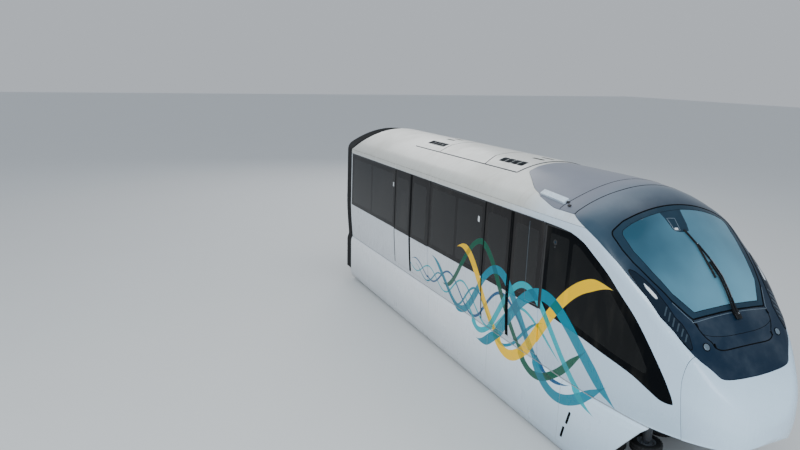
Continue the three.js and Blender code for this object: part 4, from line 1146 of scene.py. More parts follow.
def cowl():
    edge = [p for p in reversed(mask_line) if p[0] >= COWL_TOP_X - 0.004]
    edge += side_line(spline(COWL_EDGE)) + COWL_FOOT
    rows = []
    for x, t in edge:
        if not rows or t > rows[-1][1] + 0.004:
            rows.append((x, t))
    bm = bmesh.new()
    rings = []
    for x, t in rows + [(x, -t) for x, t in rows[-2:0:-1]]:
        start = nose_angle(x + 0.002)
        ring = []
        for k in range(COWL_COLUMNS + 1):
            point = skin(nose_x(start + (math.pi / 2 - start) * (k / COWL_COLUMNS)), t)
            point.x -= TIP_BACK * max(0.0, (point.x - TIP_FROM) / (NOSE_TIP - TIP_FROM)) ** 2
            ring.append(bm.verts.new(point))
        rings.append(ring)
    for a, b in zip(rings, rings[1:] + rings[:1]):
        for k in range(COWL_COLUMNS):
            bm.faces.new([a[k], b[k], b[k + 1], a[k + 1]])
    bmesh.ops.remove_doubles(bm, verts=bm.verts, dist=2e-4)
    bmesh.ops.recalc_face_normals(bm, faces=bm.faces)
    mesh = bpy.data.meshes.new("cowl_skin")
    bm.to_mesh(mesh)
    bm.free()
    obj = new_object("cowl_skin", mesh, [WHITE, LINER], sharp=60)
    thick = obj.modifiers.new("thick", "SOLIDIFY")
    thick.thickness = 0.012
    thick.offset = -1
    thick.material_offset = 1
    thick.material_offset_rim = 0
    soft_edges(obj, 0.005, 3, 50)
    finished(obj, CAR_BODY, ["nose_cowl"])


cowl()


# Small solids joined into meshes

def ring_points(count, radius, phase=0.0):
    """Points of a circle round the origin, as pairs."""
    angles = [2 * math.pi * k / count + phase for k in range(count)]
    return [(radius * math.cos(a), radius * math.sin(a)) for a in angles]


class Parts:
    """Closed solids gathered into one mesh, smooth between edges sharper than an angle."""

    def __init__(self):
        self.points, self.faces, self.slots = [], [], []

    def add(self, points, faces, slot=0):
        start = len(self.points)
        self.points += [tuple(p) for p in points]
        self.faces += [[start + i for i in face] for face in faces]
        self.slots += slot if isinstance(slot, list) else [slot] * len(faces)

    def block(self, low, high, bevel=0.004, slot=0, turn=None):
        """A box with chamfered edges; turn is a matrix applied about its centre."""
        centre = (Vector(low) + Vector(high)) / 2
        half = (Vector(high) - Vector(low)) / 2
        bevel = min(bevel, 0.45 * min(half))
        index, points, faces = {}, [], []
        for signs in product((-1, 1), repeat=3):
            for axis in range(3):
                p = Vector([signs[k] * (half[k] - (0 if k == axis else bevel)) for k in range(3)])
                index[axis, signs] = len(points)
                points.append(centre + (turn @ p if turn else p))
            faces.append([index[axis, signs] for axis in range(3)])

        def corner(kind, axis, sign, u, a, v, b):
            signs = {axis: sign, u: a, v: b}
            return index[kind, (signs[0], signs[1], signs[2])]

        for axis in range(3):
            u, v = (k for k in range(3) if k != axis)
            for sign in (-1, 1):
                faces.append([corner(axis, axis, sign, u, a, v, b)
                              for a, b in ((-1, -1), (1, -1), (1, 1), (-1, 1))])
            for a, b in product((-1, 1), repeat=2):
                faces.append([corner(kind, axis, c, u, a, v, b)
                              for kind, c in ((u, -1), (u, 1), (v, 1), (v, -1))])
        self.add(points, faces, slot)

    def box(self, at, half, bevel, slot=0, turn=None):
        """A block from its centre and half its size."""
        half = Vector(half)
        self.block(at - half, at + half, bevel, slot, turn)

    def lathe(self, profile, at, axis=UP, sides=32, slot=0, closed=False):
        """A turned solid: profile is radius and height along the axis."""
        turn = Vector(axis).to_track_quat("Z", "Y").to_matrix()
        points, rings, faces = [], [], []
        for radius, height in profile:
            around = ring_points(sides if radius > 1e-6 else 1, radius)
            rings.append([len(points) + k for k in range(len(around))])
            points += [Vector(at) + turn @ Vector((u, v, height)) for u, v in around]
        pairs = list(zip(rings, rings[1:])) + ([(rings[-1], rings[0])] if closed else [])
        for a, b in pairs:
            for k in range(sides):
                j = (k + 1) % sides
                face = [a[k % len(a)], a[j % len(a)], b[j % len(b)], b[k % len(b)]]
                face = [p for i, p in enumerate(face) if p not in face[:i]]
                if len(face) > 2:
                    faces.append(face)
        self.add(points, faces, slot)

    def rod(self, start, end, radius, sides=16, slot=0, bevel=0.003):
        axis = Vector(end) - Vector(start)
        length = axis.length
        profile = [(0, 0), (radius - bevel, 0), (radius, bevel), (radius, length - bevel),
                   (radius - bevel, length), (0, length)]
        self.lathe(profile, start, axis, sides, slot)

    def bolt(self, at, axis, radius=0.014, height=0.010, slot=0):
        profile = [(0, -0.002), (radius, -0.002), (radius, height * 0.75), (radius * 0.82, height),
                   (0, height)]
        self.lathe(profile, at, axis, 6, slot)

    def sweep(self, path, normals, profile, slot=0, closed=False):
        """A profile of sideways and outward offsets carried along a path with given outward normals."""
        count = len(path)
        rings = []
        points = []
        for i, (here, normal) in enumerate(zip(path, normals)):
            after = path[(i + 1) % count] if closed or i + 1 < count else here
            before = path[i - 1] if closed or i else here
            tangent = (after - before).normalized()
            across = normal.cross(tangent).normalized()
            out = tangent.cross(across).normalized()
            rings.append([len(points) + k for k in range(len(profile))])
            points += [here + across * u + out * v for u, v in profile]
        self.add(points, self.between(rings, closed), slot)

    def tube(self, path, radius, sides=12, slot=0):
        normals = []
        for a, b in zip(path, path[1:] + [path[-1] * 2 - path[-2]]):
            along = b - a
            normals.append(along.orthogonal() if not normals else normals[-1] - along * (
                normals[-1].dot(along) / along.length_squared))
        self.sweep(path, normals, ring_points(sides, radius), slot)

    @staticmethod
    def between(rings, closed, strip=False):
        """Faces along rings; in a strip, quads between its two halves close each end."""
        size = len(rings[0])
        faces = [] if closed else [rings[0], rings[-1][::-1]]
        if strip:
            faces = [[end[k], end[k + 1], end[size - 2 - k], end[size - 1 - k]] for end in faces
                     for k in range(size // 2 - 1)]
        for a, b in zip(rings, rings[1:] + ([rings[0]] if closed else [])):
            faces += [[a[k], b[k], b[(k + 1) % size], a[(k + 1) % size]] for k in range(size)]
        return faces

    def loft(self, rings, slot=0, closed=False, around=None):
        """A solid through rings of points; around gives a slot for each step round the ring of a strip."""
        size = len(rings[0])
        numbers = [[i * size + k for k in range(size)] for i in range(len(rings))]
        if around:
            slot = [slot] * (2 * (size // 2 - 1)) + around * (len(rings) - 1)
        self.add([p for ring in rings for p in ring], self.between(numbers, closed, bool(around)), slot)

    def make(self, name, materials, body=CAR_BODY, replaced=(), slot=None, sharp=40):
        mesh = bpy.data.meshes.new(name)
        mesh.from_pydata(self.points, [], self.faces)
        mesh.polygons.foreach_set("material_index", self.slots)
        bm = bmesh.new()
        bm.from_mesh(mesh)
        bmesh.ops.recalc_face_normals(bm, faces=bm.faces)
        bm.to_mesh(mesh)
        bm.free()
        obj = new_object(name, mesh, materials, sharp)
        obj.modifiers.new("shading", "WEIGHTED_NORMAL").keep_sharp = True
        finished(obj, body, replaced)


MERGE_ANGLE = 0.5
MOST_CORNERS = 6


def softened(node, material, bevel=0.006, sharp=30):
    """A CAD node's own shape with its flat faces merged and its edges rounded."""
    mesh = frame["nodes"][node].data.copy()
    bm = bmesh.new()
    bm.from_mesh(mesh)
    bmesh.ops.remove_doubles(bm, verts=bm.verts, dist=1e-5)
    bmesh.ops.dissolve_limit(bm, angle_limit=math.radians(MERGE_ANGLE), verts=bm.verts, edges=bm.edges)
    bmesh.ops.triangulate(bm, faces=[face for face in bm.faces if len(face.verts) > MOST_CORNERS])
    bm.to_mesh(mesh)
    bm.free()
    mesh.materials.clear()
    obj = new_object(f"{node}_finished", mesh, [material], sharp)
    soft_edges(obj, bevel, 2, sharp)
    obj.modifiers.new("shading", "WEIGHTED_NORMAL").keep_sharp = True
    finished(obj, BODY_OF[node], [node])


def trim(parts, loop, width, low, high, slot=0, closed=False):
    """A thin rounded strip that follows a line on the body."""
    h, e = width / 2, min(width / 4, (high - low) / 2)
    profile = [(-h, low), (h, low), (h, high - e), (h - e, high), (e - h, high), (-h, high - e)]
    parts.sweep([skin(*p) for p in loop], [skin_normal(*p) for p in loop], profile, slot, closed)


def trim_round(parts, loop, out, width, low, high, slot=0):
    """The same all round an outline, moved outwards by out."""
    trim(parts, inset(without_repeats(loop), -out), width, low, high, slot, closed=True)


def facing(normal, up="X"):
    """Matrix that turns a shape's own +Z to a normal."""
    return normal.to_track_quat("Z", up).to_matrix()


# Skirts: the shoulder, the flat and the curl under, cut to the slanting front edge
SKIRT_THICK = 0.036
SKIRT_FACE_IN = 0.014
SKIRT_TOP_Z = 0.560
SKIRT_SHOULDER_Z = 0.42
SKIRT_PROFILE = [
    (0.066, SKIRT_TOP_Z), (0.058, 0.554), (0.028, 0.500, 0.04), (SKIRT_FACE_IN, 0.380, 0.12),
    (SKIRT_FACE_IN, -0.605, 0.15), (0.042, -0.715, 0.15), (0.109, -0.810, 0.12), (0.204, -0.870),
]
SKIRT_FRONT = [(0.56, 5.650), (0.525, 5.650), (-0.25, 5.080), (-0.60, 4.900), (-0.90, 4.852)]
SKIRT_JOINTS = [REAR, -3.900, -1.200, 1.500, 3.905]
SKIRT_FALL_START, SKIRT_FALL = 5.0, 0.057
SKIRT_END_SLIM = 0.003


def table(rows, key):
    """Straight interpolation in rows of key and value, keys falling."""
    for (k0, v0), (k1, v1) in zip(rows, rows[1:]):
        if key >= k1:
            return v0 + (v1 - v0) * min(1.0, max(0.0, (k0 - key) / (k0 - k1)))
    return rows[-1][1]


def skirt(side, sign):
    profile = dense(rounded(SKIRT_PROFILE), 0.045, closed=False)
    count = len(profile)
    shoulder = SKIRT_TOP_Z - SKIRT_SHOULDER_Z
    parts = Parts()
    ends = [*SKIRT_JOINTS, None]
    for start, end in zip(ends, ends[1:]):
        steps = 3 if end and end < TAPER_START else 16
        rings = []
        for f in [0.0, 0.0015] + [k / steps for k in range(1, steps)] + [0.9985, 1.0]:
            slim = SKIRT_END_SLIM if f in (0.0, 1.0) else 0.0
            outer, inner = [], []
            for inward, z in profile:
                x1 = end - 2 * SEAM_GAP if end else table(SKIRT_FRONT, z)
                x = start + (x1 - start) * f
                if z > SKIRT_SHOULDER_Z:
                    top_z = SKIRT_TOP_Z - SKIRT_FALL * max(0.0, x - SKIRT_FALL_START)
                    z = SKIRT_SHOULDER_Z + (z - SKIRT_SHOULDER_Z) * (top_z - SKIRT_SHOULDER_Z) / shoulder
                y = half_width(x) - inward
                outer.append((x, sign * (y - slim), z))
                inner.append((x, sign * (y - SKIRT_THICK + slim), z))
            rings.append(outer + inner[::-1])
        parts.loft(rings, 1, around=[0] * (count - 1) + [1] * (count + 1))
    parts.make(f"skirt_skin_{side}", [WHITE, INNER_WHITE], replaced=[f"skirt_{side}"], slot="white_paint",
               sharp=35)


SKIRT_SLOTS = [((4.205, 0.085), (4.135, -0.175)), ((4.085, -0.260), (4.030, -0.490))]
SLOT_HALF = 0.028
# Frame and dark opening of a slot, the opening a black plug of painted shade: growth all round, depths of its
# back and front, material number
SLOT_LAYERS = [(0.010, -0.010, 0.0025, 0), (0.0, -0.012, 0.0032, 1)]


def skirt_slots(side, sign):
    parts = Parts()
    for (x0, z0), (x1, z1) in SKIRT_SLOTS:
        for grow, low, high, slot in SLOT_LAYERS:
            rings = []
            for slim, depth in ((0.0, low), (0.0, high - 0.001), (0.001, high)):
                half = SLOT_HALF + grow
                ring = rounded([(x0 - half + slim, z0 + grow, 0.02), (x0 + half - slim, z0 + grow, 0.02),
                                (x1 + half - slim, z1 - grow, 0.02), (x1 - half + slim, z1 - grow, 0.02)], 4)
                rings.append([(x, sign * (half_width(x) - SKIRT_FACE_IN + depth), z) for x, z in ring])
            parts.loft(rings, slot)
    parts.make(f"skirt_slots_{side}", [WHITE, DARK], slot="wiper_black")


for side, sign in SIDES:
    skirt(side, sign)
    skirt_slots(side, sign)

# Bellows: folds carried round the arch of the body
BELLOWS_LENGTH = 0.478
BELLOWS_IN = 0.045
BELLOWS_FOOT_Z = (-0.560, -0.2, 0.2, 0.40)
ARCH_STEPS = 60
FOLDS = 7
FOLD_STEPS = 10
FOLD_DEPTH = 0.042
FOLD_THICK = 0.022


def bellows():
    x = REAR - 0.001
    arch = [Vector((x, -(HALF_WIDTH - SKIRT_FACE_IN - BELLOWS_IN), z)) for z in BELLOWS_FOOT_Z]
    foot = [Vector((x, -p.y, p.z)) for p in reversed(arch)]
    normals = [Vector((0, -1, 0))] * len(foot)
    for k in range(ARCH_STEPS + 1):
        t = -3 + 6 * k / ARCH_STEPS
        point, normal = skin(REAR, t), skin_normal(REAR, t)
        arch.append(Vector((x, point.y, point.z)) - normal * BELLOWS_IN)
        normals.append(normal)
    outer, inner = [], []
    for k in range(FOLDS * FOLD_STEPS + 1):
        along = max(0.0, BELLOWS_LENGTH * (k / (FOLDS * FOLD_STEPS)) - 0.0005)
        dip = FOLD_DEPTH * abs(math.sin(math.pi * k / FOLD_STEPS)) ** 0.7
        outer.append((along, -dip))
        inner.append((along, -dip - FOLD_THICK))
    parts = Parts()
    parts.sweep(arch + foot, normals + [Vector((0, 1, 0))] * len(foot), outer + inner[::-1])
    parts.make("bellows_folds", [BELLOWS], replaced=["gangway_bellows"], slot="bellows_rubber", sharp=60)


bellows()

# Trim on the sides: dark surrounds of the doorways, the band's top edge, rubber edges and door sills
BAND_STRIP = [
    (-6.640, WINDOW_TOP_Z - 0.003), (-6.640, 3.281), (3.172, 3.281), (3.500, 3.276), (3.800, 3.258),
    (4.020, 3.208), (3.790, 3.246), (3.480, WINDOW_TOP_Z + 0.002), (3.172, WINDOW_TOP_Z - 0.003),
]
SURROUND_X = [(-3.341, -1.310), (1.139, 3.180)]
SURROUND_OVERLAP = 0.003
MEETING_RUBBER = {"in": 0.025, "width": 0.054}
FAR_RUBBER = {"in": 0.024, "width": 0.040}
RUBBER_Z = (LEAF_Z[0] + 0.004, LEAF_Z[1] - 0.004)
# Pale bead along the rear and bottom edges of a pane in door 2's front leaf: painted highlight
HIGHLIGHT_BEAD = [(2.690, 3.205), (2.700, 2.450), (2.715, 1.700), (2.730, 1.682), (2.800, 1.682), (3.110, 1.700)]
DOOR_SILL_Z = 0.692
DOOR_SILL_HALF = 0.98


def side_trim(side, sign):
    def strip(parts, points, step, width, low, high, slot=0):
        trim(parts, [(x, sign * t) for x, t in side_line(points, step)], width, low, high, slot)

    for number, (centre, (x0, x1)) in enumerate(zip(DOOR_CENTRES, SURROUND_X), 1):
        half, top = DOORWAY_HALF + SURROUND_OVERLAP, DOORWAY_Z[1] + SURROUND_OVERLAP
        surround = [(x0, WAIST_Z), (x0, WINDOW_TOP_Z), (x1, WINDOW_TOP_Z), (x1, WAIST_Z),
                    (centre + half, WAIST_Z), (centre + half, top), (centre - half, top),
                    (centre - half, WAIST_Z)]
        panel_piece(f"door_surround_{number}_{side}", side_loop(surround, sign), [DOORWAY],
                    slot="white_paint", top=0.0022, bottom=0.0002, bevel=0.0008)
        for end, way in (("rear", -1), ("front", 1)):
            name = f"door_{number}_{side}_{end}"
            near, far = leaf_ends(centre, way)
            edge = Parts()
            upright = [(near + way * MEETING_RUBBER["in"], z) for z in RUBBER_Z]
            strip(edge, upright, 0.1, MEETING_RUBBER["width"], LEAF_OUT - 0.012, RUBBER_DEPTH)
            if end == "rear":
                upright = [(far + FAR_RUBBER["in"], z) for z in RUBBER_Z]
                strip(edge, upright, 0.1, FAR_RUBBER["width"], LEAF_OUT - 0.002, LEAF_OUT + 0.002)
            # Painted highlight: a pale bead on the edges of a pane in the front leaf
            if (number, end) == (2, "front"):
                strip(edge, HIGHLIGHT_BEAD, 0.05, 0.008, LEAF_OUT - 0.002, LEAF_OUT + 0.0012, 1)
            edge.make(f"{name}_rubber", [DARK, REFLECTOR_AND_HIGHLIGHT], f"{name}_leaf_body", slot="wiper_black")
    panel_piece(f"band_top_strip_{side}", side_loop(BAND_STRIP, sign), [BLACK], slot="wiper_black",
                top=0.0026, bottom=0.0002, bevel=0.001)
    sills = Parts()
    for centre in DOOR_CENTRES:
        ends = [(centre + way * DOOR_SILL_HALF, DOOR_SILL_Z) for way in (-1, 1)]
        strip(sills, ends, 0.12, 0.022, -0.002, 0.004)
    sills.make(f"door_sills_{side}", [ALUMINIUM], slot="handrail_steel")


for side, sign in SIDES:
    side_trim(side, sign)

# Roof air unit: its three sections, slotted grilles and the louvres under them
UNIT_INNER_Y = 0.500
GRILLES = [(-3.230, -2.330), (0.200, 1.100)]
GRILLE_Y = (0.480, 0.690)
GRILLE_SLOTS = 4
SLOT_SLANT = 0.060
LOUVRES = {"first": 0.02, "pitch": 0.042, "count": 5, "tilt": 38}
CENTRE_SLOTS = [(-3.160, -2.770), (0.700, 1.090)]
CENTRE_SLOT_Y = 0.125
UNIT_BOLTS = {"y": 0.905, "first": 0.12, "pitch": 0.30, "count": 16}


def grilles():
    """Outlines of the slots, and the louvres with their bed under them."""
    holes, louvres = [], Parts()
    crown = section(0).crown
    middle = sum(GRILLE_Y) / 2
    for (x0, x1), sign in product(GRILLES, (-1, 1)):
        pitch = (x1 - x0) / GRILLE_SLOTS
        near, far = sign * GRILLE_Y[1], sign * GRILLE_Y[0]
        turn = Matrix.Rotation(sign * math.radians(LOUVRES["tilt"]), 3, "X")
        for k in range(GRILLE_SLOTS):
            a, b = x0 + pitch * (k + 0.05), x0 + pitch * (k + 0.95)
            slant = [(a, near), (b, near), (b - SLOT_SLANT, far), (a - SLOT_SLANT, far)]
            holes.append(plan_loop([(x, y, 0.02) for x, y in slant]))
            for row in range(LOUVRES["count"]):
                y = sign * (GRILLE_Y[0] + LOUVRES["first"] + LOUVRES["pitch"] * row)
                z = crown(y) - 0.048
                louvres.block((a - SLOT_SLANT, y - 0.017, z), (b, y + 0.017, z + 0.004), 0.001, 0, turn)
        y, z = sign * middle, crown(middle) - 0.085
        louvres.block((x0 - 0.10, y - 0.13, z - 0.01), (x1 + 0.02, y + 0.13, z), 0.002)
    louvres.make("air_unit_louvres", [BOGIE], slot="wiper_black")
    return holes


def roof_unit():
    holes = grilles()
    lid = Shape()
    for (a_out, a_in), (b_out, b_in) in zip(UNIT_JOINTS, UNIT_JOINTS[1:]):
        ys = (-ROOF_UNIT_HALF, -UNIT_INNER_Y, UNIT_INNER_Y, ROOF_UNIT_HALF)
        corners = [*zip((a_out, a_in, a_in, a_out), ys), *zip((b_out, b_in, b_in, b_out), ys[::-1])]
        outline = plan_loop([(x, y, 0.03) for x, y in corners])
        own = [h for h in holes if a_in - 0.1 < sum(p[0] for p in h) / len(h) < b_in + 0.1]
        add_panel(lid, inset(without_repeats(outline), 0.010), own, top=ROOF_UNIT_PROUD - 0.001, bottom=-0.10,
                  bevel=0.006, slots=(0, 1, 1))
    finished(lid.make("air_unit_lid", [ROOF, STEEL]), CAR_BODY, ["roof_air_unit"])
    # Slots on the middle section: black patches laid on the lid, painted shade standing for the openings
    for number, ends in enumerate(CENTRE_SLOTS, 1):
        for side, sign in SIDES:
            y = sign * CENTRE_SLOT_Y
            loop = plan_loop(rectangle(*ends, y - 0.035, y + 0.035, 0.02))
            panel_piece(f"air_unit_slot_{number}_{side}", loop, [DARK], slot="wiper_black",
                        top=ROOF_UNIT_PROUD + 0.0006, bottom=ROOF_UNIT_PROUD - 0.002, bevel=0.001)
    bolts = Parts()
    for sign, k in product((-1, 1), range(UNIT_BOLTS["count"])):
        x = UNIT_X[0] + UNIT_BOLTS["first"] + k * UNIT_BOLTS["pitch"]
        t = t_from_plan(x, sign * UNIT_BOLTS["y"])
        bolts.bolt(place(x, t, ROOF_UNIT_PROUD - 0.0065), skin_normal(x, t), 0.010, 0.005)
    bolts.make("air_unit_bolts", [ALUMINIUM], slot="handrail_steel")


roof_unit()

# Grey roof panel: a flat cable fairing with its end stops each side
FAIRING = [(2.600, 1.215), (2.610, 1.330), (3.350, 1.380), (3.350, 1.265)]
FAIRING_STOPS = [(3.385, 1.320), (3.486, 1.372)]


def fairing(side, sign):
    loop = plan_loop([(x, sign * y, 0.015) for x, y in FAIRING])
    panel_piece(f"roof_fairing_{side}", loop, [WHITE], slot="white_paint", top=0.045, bottom=-0.002,
                bevel=0.010)
    stops = Parts()
    for x, y in FAIRING_STOPS:
        t = t_from_plan(x, sign * y)
        normal = skin_normal(x, t)
        stops.box(place(x, t, 0.012), (0.024, 0.030, 0.014), 0.006, 0, facing(normal))
        stops.bolt(place(x, t, 0.024), normal, 0.009, 0.008)
    stops.make(f"roof_stops_{side}", [BLACK], slot="wiper_black")


for side, sign in SIDES:
    fairing(side, sign)

# Windscreen seal, the sensor pod on its top edge and the service hatch below it
HATCH = [
    (5.795, 0.808), (5.925, 0.777), (6.003, 0.726), (6.063, 0.659), (6.120, 0.625), (6.160, 0.462),
    (6.168, 0.0),
]
HATCH_HINGES = [(5.868, 0.785), (6.098, 0.630)]
LEDGE = [(5.930, 0.770), (5.971, 0.738), (6.022, 0.558), (6.052, 0.300), (6.060, 0.0)]
SCREEN_FOOT = [(5.560, 1.010), (5.792, 0.835), (5.828, 0.790), (5.838, 0.400), (5.840, 0.0)]
SENSOR_POD = [
    (4.505, -0.360), (4.600, -0.330), (4.780, -0.290), (4.815, -0.230), (4.835, -0.130), (4.830, 0.020),
    (4.740, 0.060), (4.600, 0.080), (4.505, 0.110),
]
POD_FRAME = [(4.620, -0.285), (4.800, -0.265), (4.805, -0.150), (4.640, -0.130)]
POD_LENS = [(4.775, -0.250), (4.782, -0.180)]


def screen_details():
    seals = Parts()
    trim_round(seals, screen_loop, 0.008, 0.020, -0.004, 0.004)
    trim_round(seals, clear_loop, 0.004, 0.008, -0.001, 0.0015)
    for sign in (-1, 1):
        # A pale line along the screen's foot: painted highlight on its seal
        trim(seals, plan_line(spline(SCREEN_FOOT), sign), 0.010, -0.001, 0.0030, 1)
    seals.make("windscreen_seals", [DARK, REFLECTOR_AND_HIGHLIGHT], slot="wiper_black")
    pod = plan_loop([(x, y, 0.02) for x, y in SENSOR_POD])
    panel_piece("sensor_pod_shade", pod, [SCREEN_FRIT], slot="wiper_black", top=0.0015, bottom=0.0002,
                bevel=0.0008)
    pod_edge = Parts()
    trim(pod_edge, plan_loop(POD_FRAME), 0.012, 0.001, 0.0028, closed=True)
    trim(pod_edge, plan_line(spline(POD_LENS)), 0.040, 0.001, 0.0030, 1)
    pod_edge.make("sensor_pod_frame", [REFLECTOR_AND_HIGHLIGHT, LAMP], slot="wiper_black")
    lines = Parts()
    for points, width in ((HATCH, 0.020), (LEDGE, 0.008)):
        for sign in (-1, 1):
            trim(lines, plan_line(spline(points), sign), width, -0.002, 0.0014)
    for sign, (x, y) in product((-1, 1), HATCH_HINGES):
        t = t_from_plan(x, sign * y)
        lines.box(place(x, t, 0.006), (0.034, 0.010, 0.008), 0.004, 0, facing(skin_normal(x, t)))
    lines.make("service_hatch_lines", [DARK], slot="wiper_black")
    seams = Parts()
    trim(seams, mirrored(seam_line), 0.022, -0.003, 0.0014)
    trim(seams, mirrored(hood_line[::-1]), 0.018, -0.003, 0.0014)
    seams.make("hood_seals", [DARK], slot="wiper_black")


screen_details()

# Headlamps: a dark glass strip beside the mask's edge with a white lamp, ribs and a small round lens
LAMP_EDGE = [
    (4.975, 1.392), (5.082, 1.386), (5.248, 1.364), (5.439, 1.326), (5.617, 1.278), (5.759, 1.208),
    (5.917, 1.146), (6.040, 1.070), (6.046, 1.036), (5.928, 1.002), (5.791, 1.022), (5.704, 1.075),
    (5.571, 1.112), (5.469, 1.150), (5.360, 1.180), (5.206, 1.242), (5.060, 1.320),
]
LAMP_WHITE = [
    (5.215, 1.296), (5.310, 1.254), (5.420, 1.212), (5.462, 1.210), (5.455, 1.240), (5.400, 1.268),
    (5.310, 1.296),
]
# Ribs of the lamp: x and |y| of both ends
LAMP_RIBS = [
    (5.575, 1.130, 5.640, 1.225), (5.640, 1.115, 5.705, 1.205), (5.705, 1.090, 5.770, 1.180),
    (5.775, 1.060, 5.835, 1.150), (5.845, 1.040, 5.900, 1.125), (5.910, 1.025, 5.960, 1.100),
]
MARKER = (6.082, 0.790)
MARKER_RING = [(0.0, -0.002), (0.062, -0.002), (0.062, 0.006), (0.055, 0.010), (0.050, 0.007), (0, 0.007)]
MARKER_LENS = [(0.0, 0.006), (0.051, 0.006), (0.047, 0.011), (0.030, 0.016), (0, 0.018)]


def headlamp(side, sign):
    outline = plan_loop([(x, sign * y, 0.03) for x, y in LAMP_EDGE])
    white = plan_loop([(x, sign * y, 0.05) for x, y in LAMP_WHITE])
    panel_piece(f"headlamp_glass_{side}", outline, [LAMP_GLASS, LAMP], slot="mask_paint",
                regions=[(white, 1)], top=0.004, bottom=0.0002, bevel=0.002)
    bits = Parts()
    trim_round(bits, outline, 0.004, 0.009, -0.001, 0.0055)
    trim_round(bits, white, 0.003, 0.006, 0.003, 0.0065, 1)
    for x0, y0, x1, y1 in LAMP_RIBS:
        rib = spline([(x0, y0), ((x0 + x1) / 2, (y0 + y1) / 2), (x1, y1)])
        trim(bits, plan_line(rib, sign), 0.024, 0.002, 0.007, 3)
    spot = MARKER[0], t_from_plan(MARKER[0], sign * MARKER[1])
    for slot, profile in enumerate((MARKER_RING, MARKER_LENS)):
        bits.lathe(profile, place(*spot, 0.0), skin_normal(*spot), 40, slot)
    bits.make(f"headlamp_trim_{side}", [DARK, REFLECTOR_AND_HIGHLIGHT, SCREEN_FRIT, LAMP_RIB], slot="wiper_black")


for side, sign in SIDES:
    headlamp(side, sign)

# Door lights and the side camera, flush with the dark band
INDICATORS = [(-3.464, 2.835), (0.910, 2.843)]
# Body and lens of a door light: half size, depth of the middle, material number
INDICATOR_LAYERS = [((0.045, 0.080, 0.005), -0.0022, 0), ((0.032, 0.058, 0.005), -0.0008, 1)]
# Camera body, its lens and the button under it: x, z, sides, material number, profile
CAMERA_PARTS = [
    (3.429, 2.985, 32, 0, [(0, -0.002), (0.052, -0.002), (0.050, 0.0018), (0.044, 0.0030), (0, 0.0030)]),
    (3.429, 2.985, 24, 2, [(0, 0.001), (0.022, 0.001), (0.020, 0.0036), (0, 0.0044)]),
    (3.429, 2.900, 20, 0, [(0, -0.002), (0.022, -0.002), (0.020, 0.0030), (0, 0.0036)]),
]


def side_devices(side, sign):
    parts = Parts()
    for x, z in INDICATORS:
        t = sign * t_from_side(x, z)
        for half, depth, slot in INDICATOR_LAYERS:
            parts.box(place(x, t, depth), half, 0.0016, slot, facing(skin_normal(x, t), "Y"))
    for x, z, sides, slot, profile in CAMERA_PARTS:
        t = sign * t_from_side(x, z)
        parts.lathe(profile, skin(x, t), skin_normal(x, t), sides, slot)
    parts.make(f"side_devices_{side}", [BLACK, LAMP, SCREEN_FRIT], slot="wiper_black")


for side, sign in SIDES:
    side_devices(side, sign)

# Wiper: pantograph arm, blade and its gearbox, following the screen; rows of x, y and height over the screen
WIPER_ARM = [
    (5.870, 0.045, 0.045), (5.597, 0.120, 0.045), (5.429, 0.140, 0.042), (5.248, 0.105, 0.038),
    (5.017, 0.014, 0.030),
]
WIPER_BLADE = [(4.812, -0.090, 0.018), (5.017, 0.010, 0.018), (5.438, 0.016, 0.018)]
WIPER_BASE = (5.872, 0.045)
WIPER_KNEE = (5.017, 0.012)
ARM_PROFILE = [
    (-0.019, -0.006), (0.019, -0.006), (0.016, 0.006), (0.008, 0.010), (-0.008, 0.010), (-0.016, 0.006),
]
BLADE_PROFILE = [(-0.018, 0.000), (0.018, 0.000), (0.010, 0.013), (-0.010, 0.013)]
LIP_PROFILE = [(-0.003, -0.017), (0.003, -0.017), (0.006, 0.001), (-0.006, 0.001)]
BASE_PROFILE = [(0, 0.001), (0.046, 0.001), (0.044, 0.030), (0.032, 0.050), (0.020, 0.058), (0, 0.058)]
KNEE_PROFILE = [(0, -0.012), (0.014, -0.012), (0.014, 0.012), (0, 0.014)]
TWIN_ARM_OFFSET = Vector((0, -0.052, 0))
ROW_STEPS = 6


def wiper():
    def normal_at(x, y):
        return skin_normal(x, t_from_plan(x, y))

    def point(x, y, lift):
        return place(x, t_from_plan(x, y), lift)

    def path(rows):
        fine = [point(*(a[i] + (b[i] - a[i]) * k / ROW_STEPS for i in range(3)))
                for a, b in zip(rows, rows[1:]) for k in range(ROW_STEPS)]
        fine.append(point(*rows[-1]))
        return fine, [normal_at(p.x, p.y) for p in fine]

    parts = Parts()
    arm, normals = path(WIPER_ARM)
    parts.sweep(arm, normals, ARM_PROFILE)
    parts.sweep([p + TWIN_ARM_OFFSET for p in arm[:19]], normals[:19], ARM_PROFILE)
    parts.tube([p + n * 0.012 for p, n in zip(arm[4:20], normals[4:20])], 0.0035, 8, 1)
    blade, normals = path(WIPER_BLADE)
    parts.sweep(blade, normals, BLADE_PROFILE)
    parts.sweep(blade, normals, LIP_PROFILE, 2)
    base, normal = point(*WIPER_BASE, 0.0), normal_at(*WIPER_BASE)
    parts.lathe(BASE_PROFILE, base, normal, 36)
    parts.box(base + normal * 0.022, (0.080, 0.060, 0.022), 0.016, 0, facing(normal))
    parts.bolt(base + normal * 0.056, normal, 0.013, 0.010, 1)
    parts.lathe(KNEE_PROFILE, point(*WIPER_KNEE, 0.024), normal, 20, 1)
    parts.make("wiper_arm", [ARM, BRIGHT, SEAL], replaced=["wiper"], slot="wiper_black")


wiper()

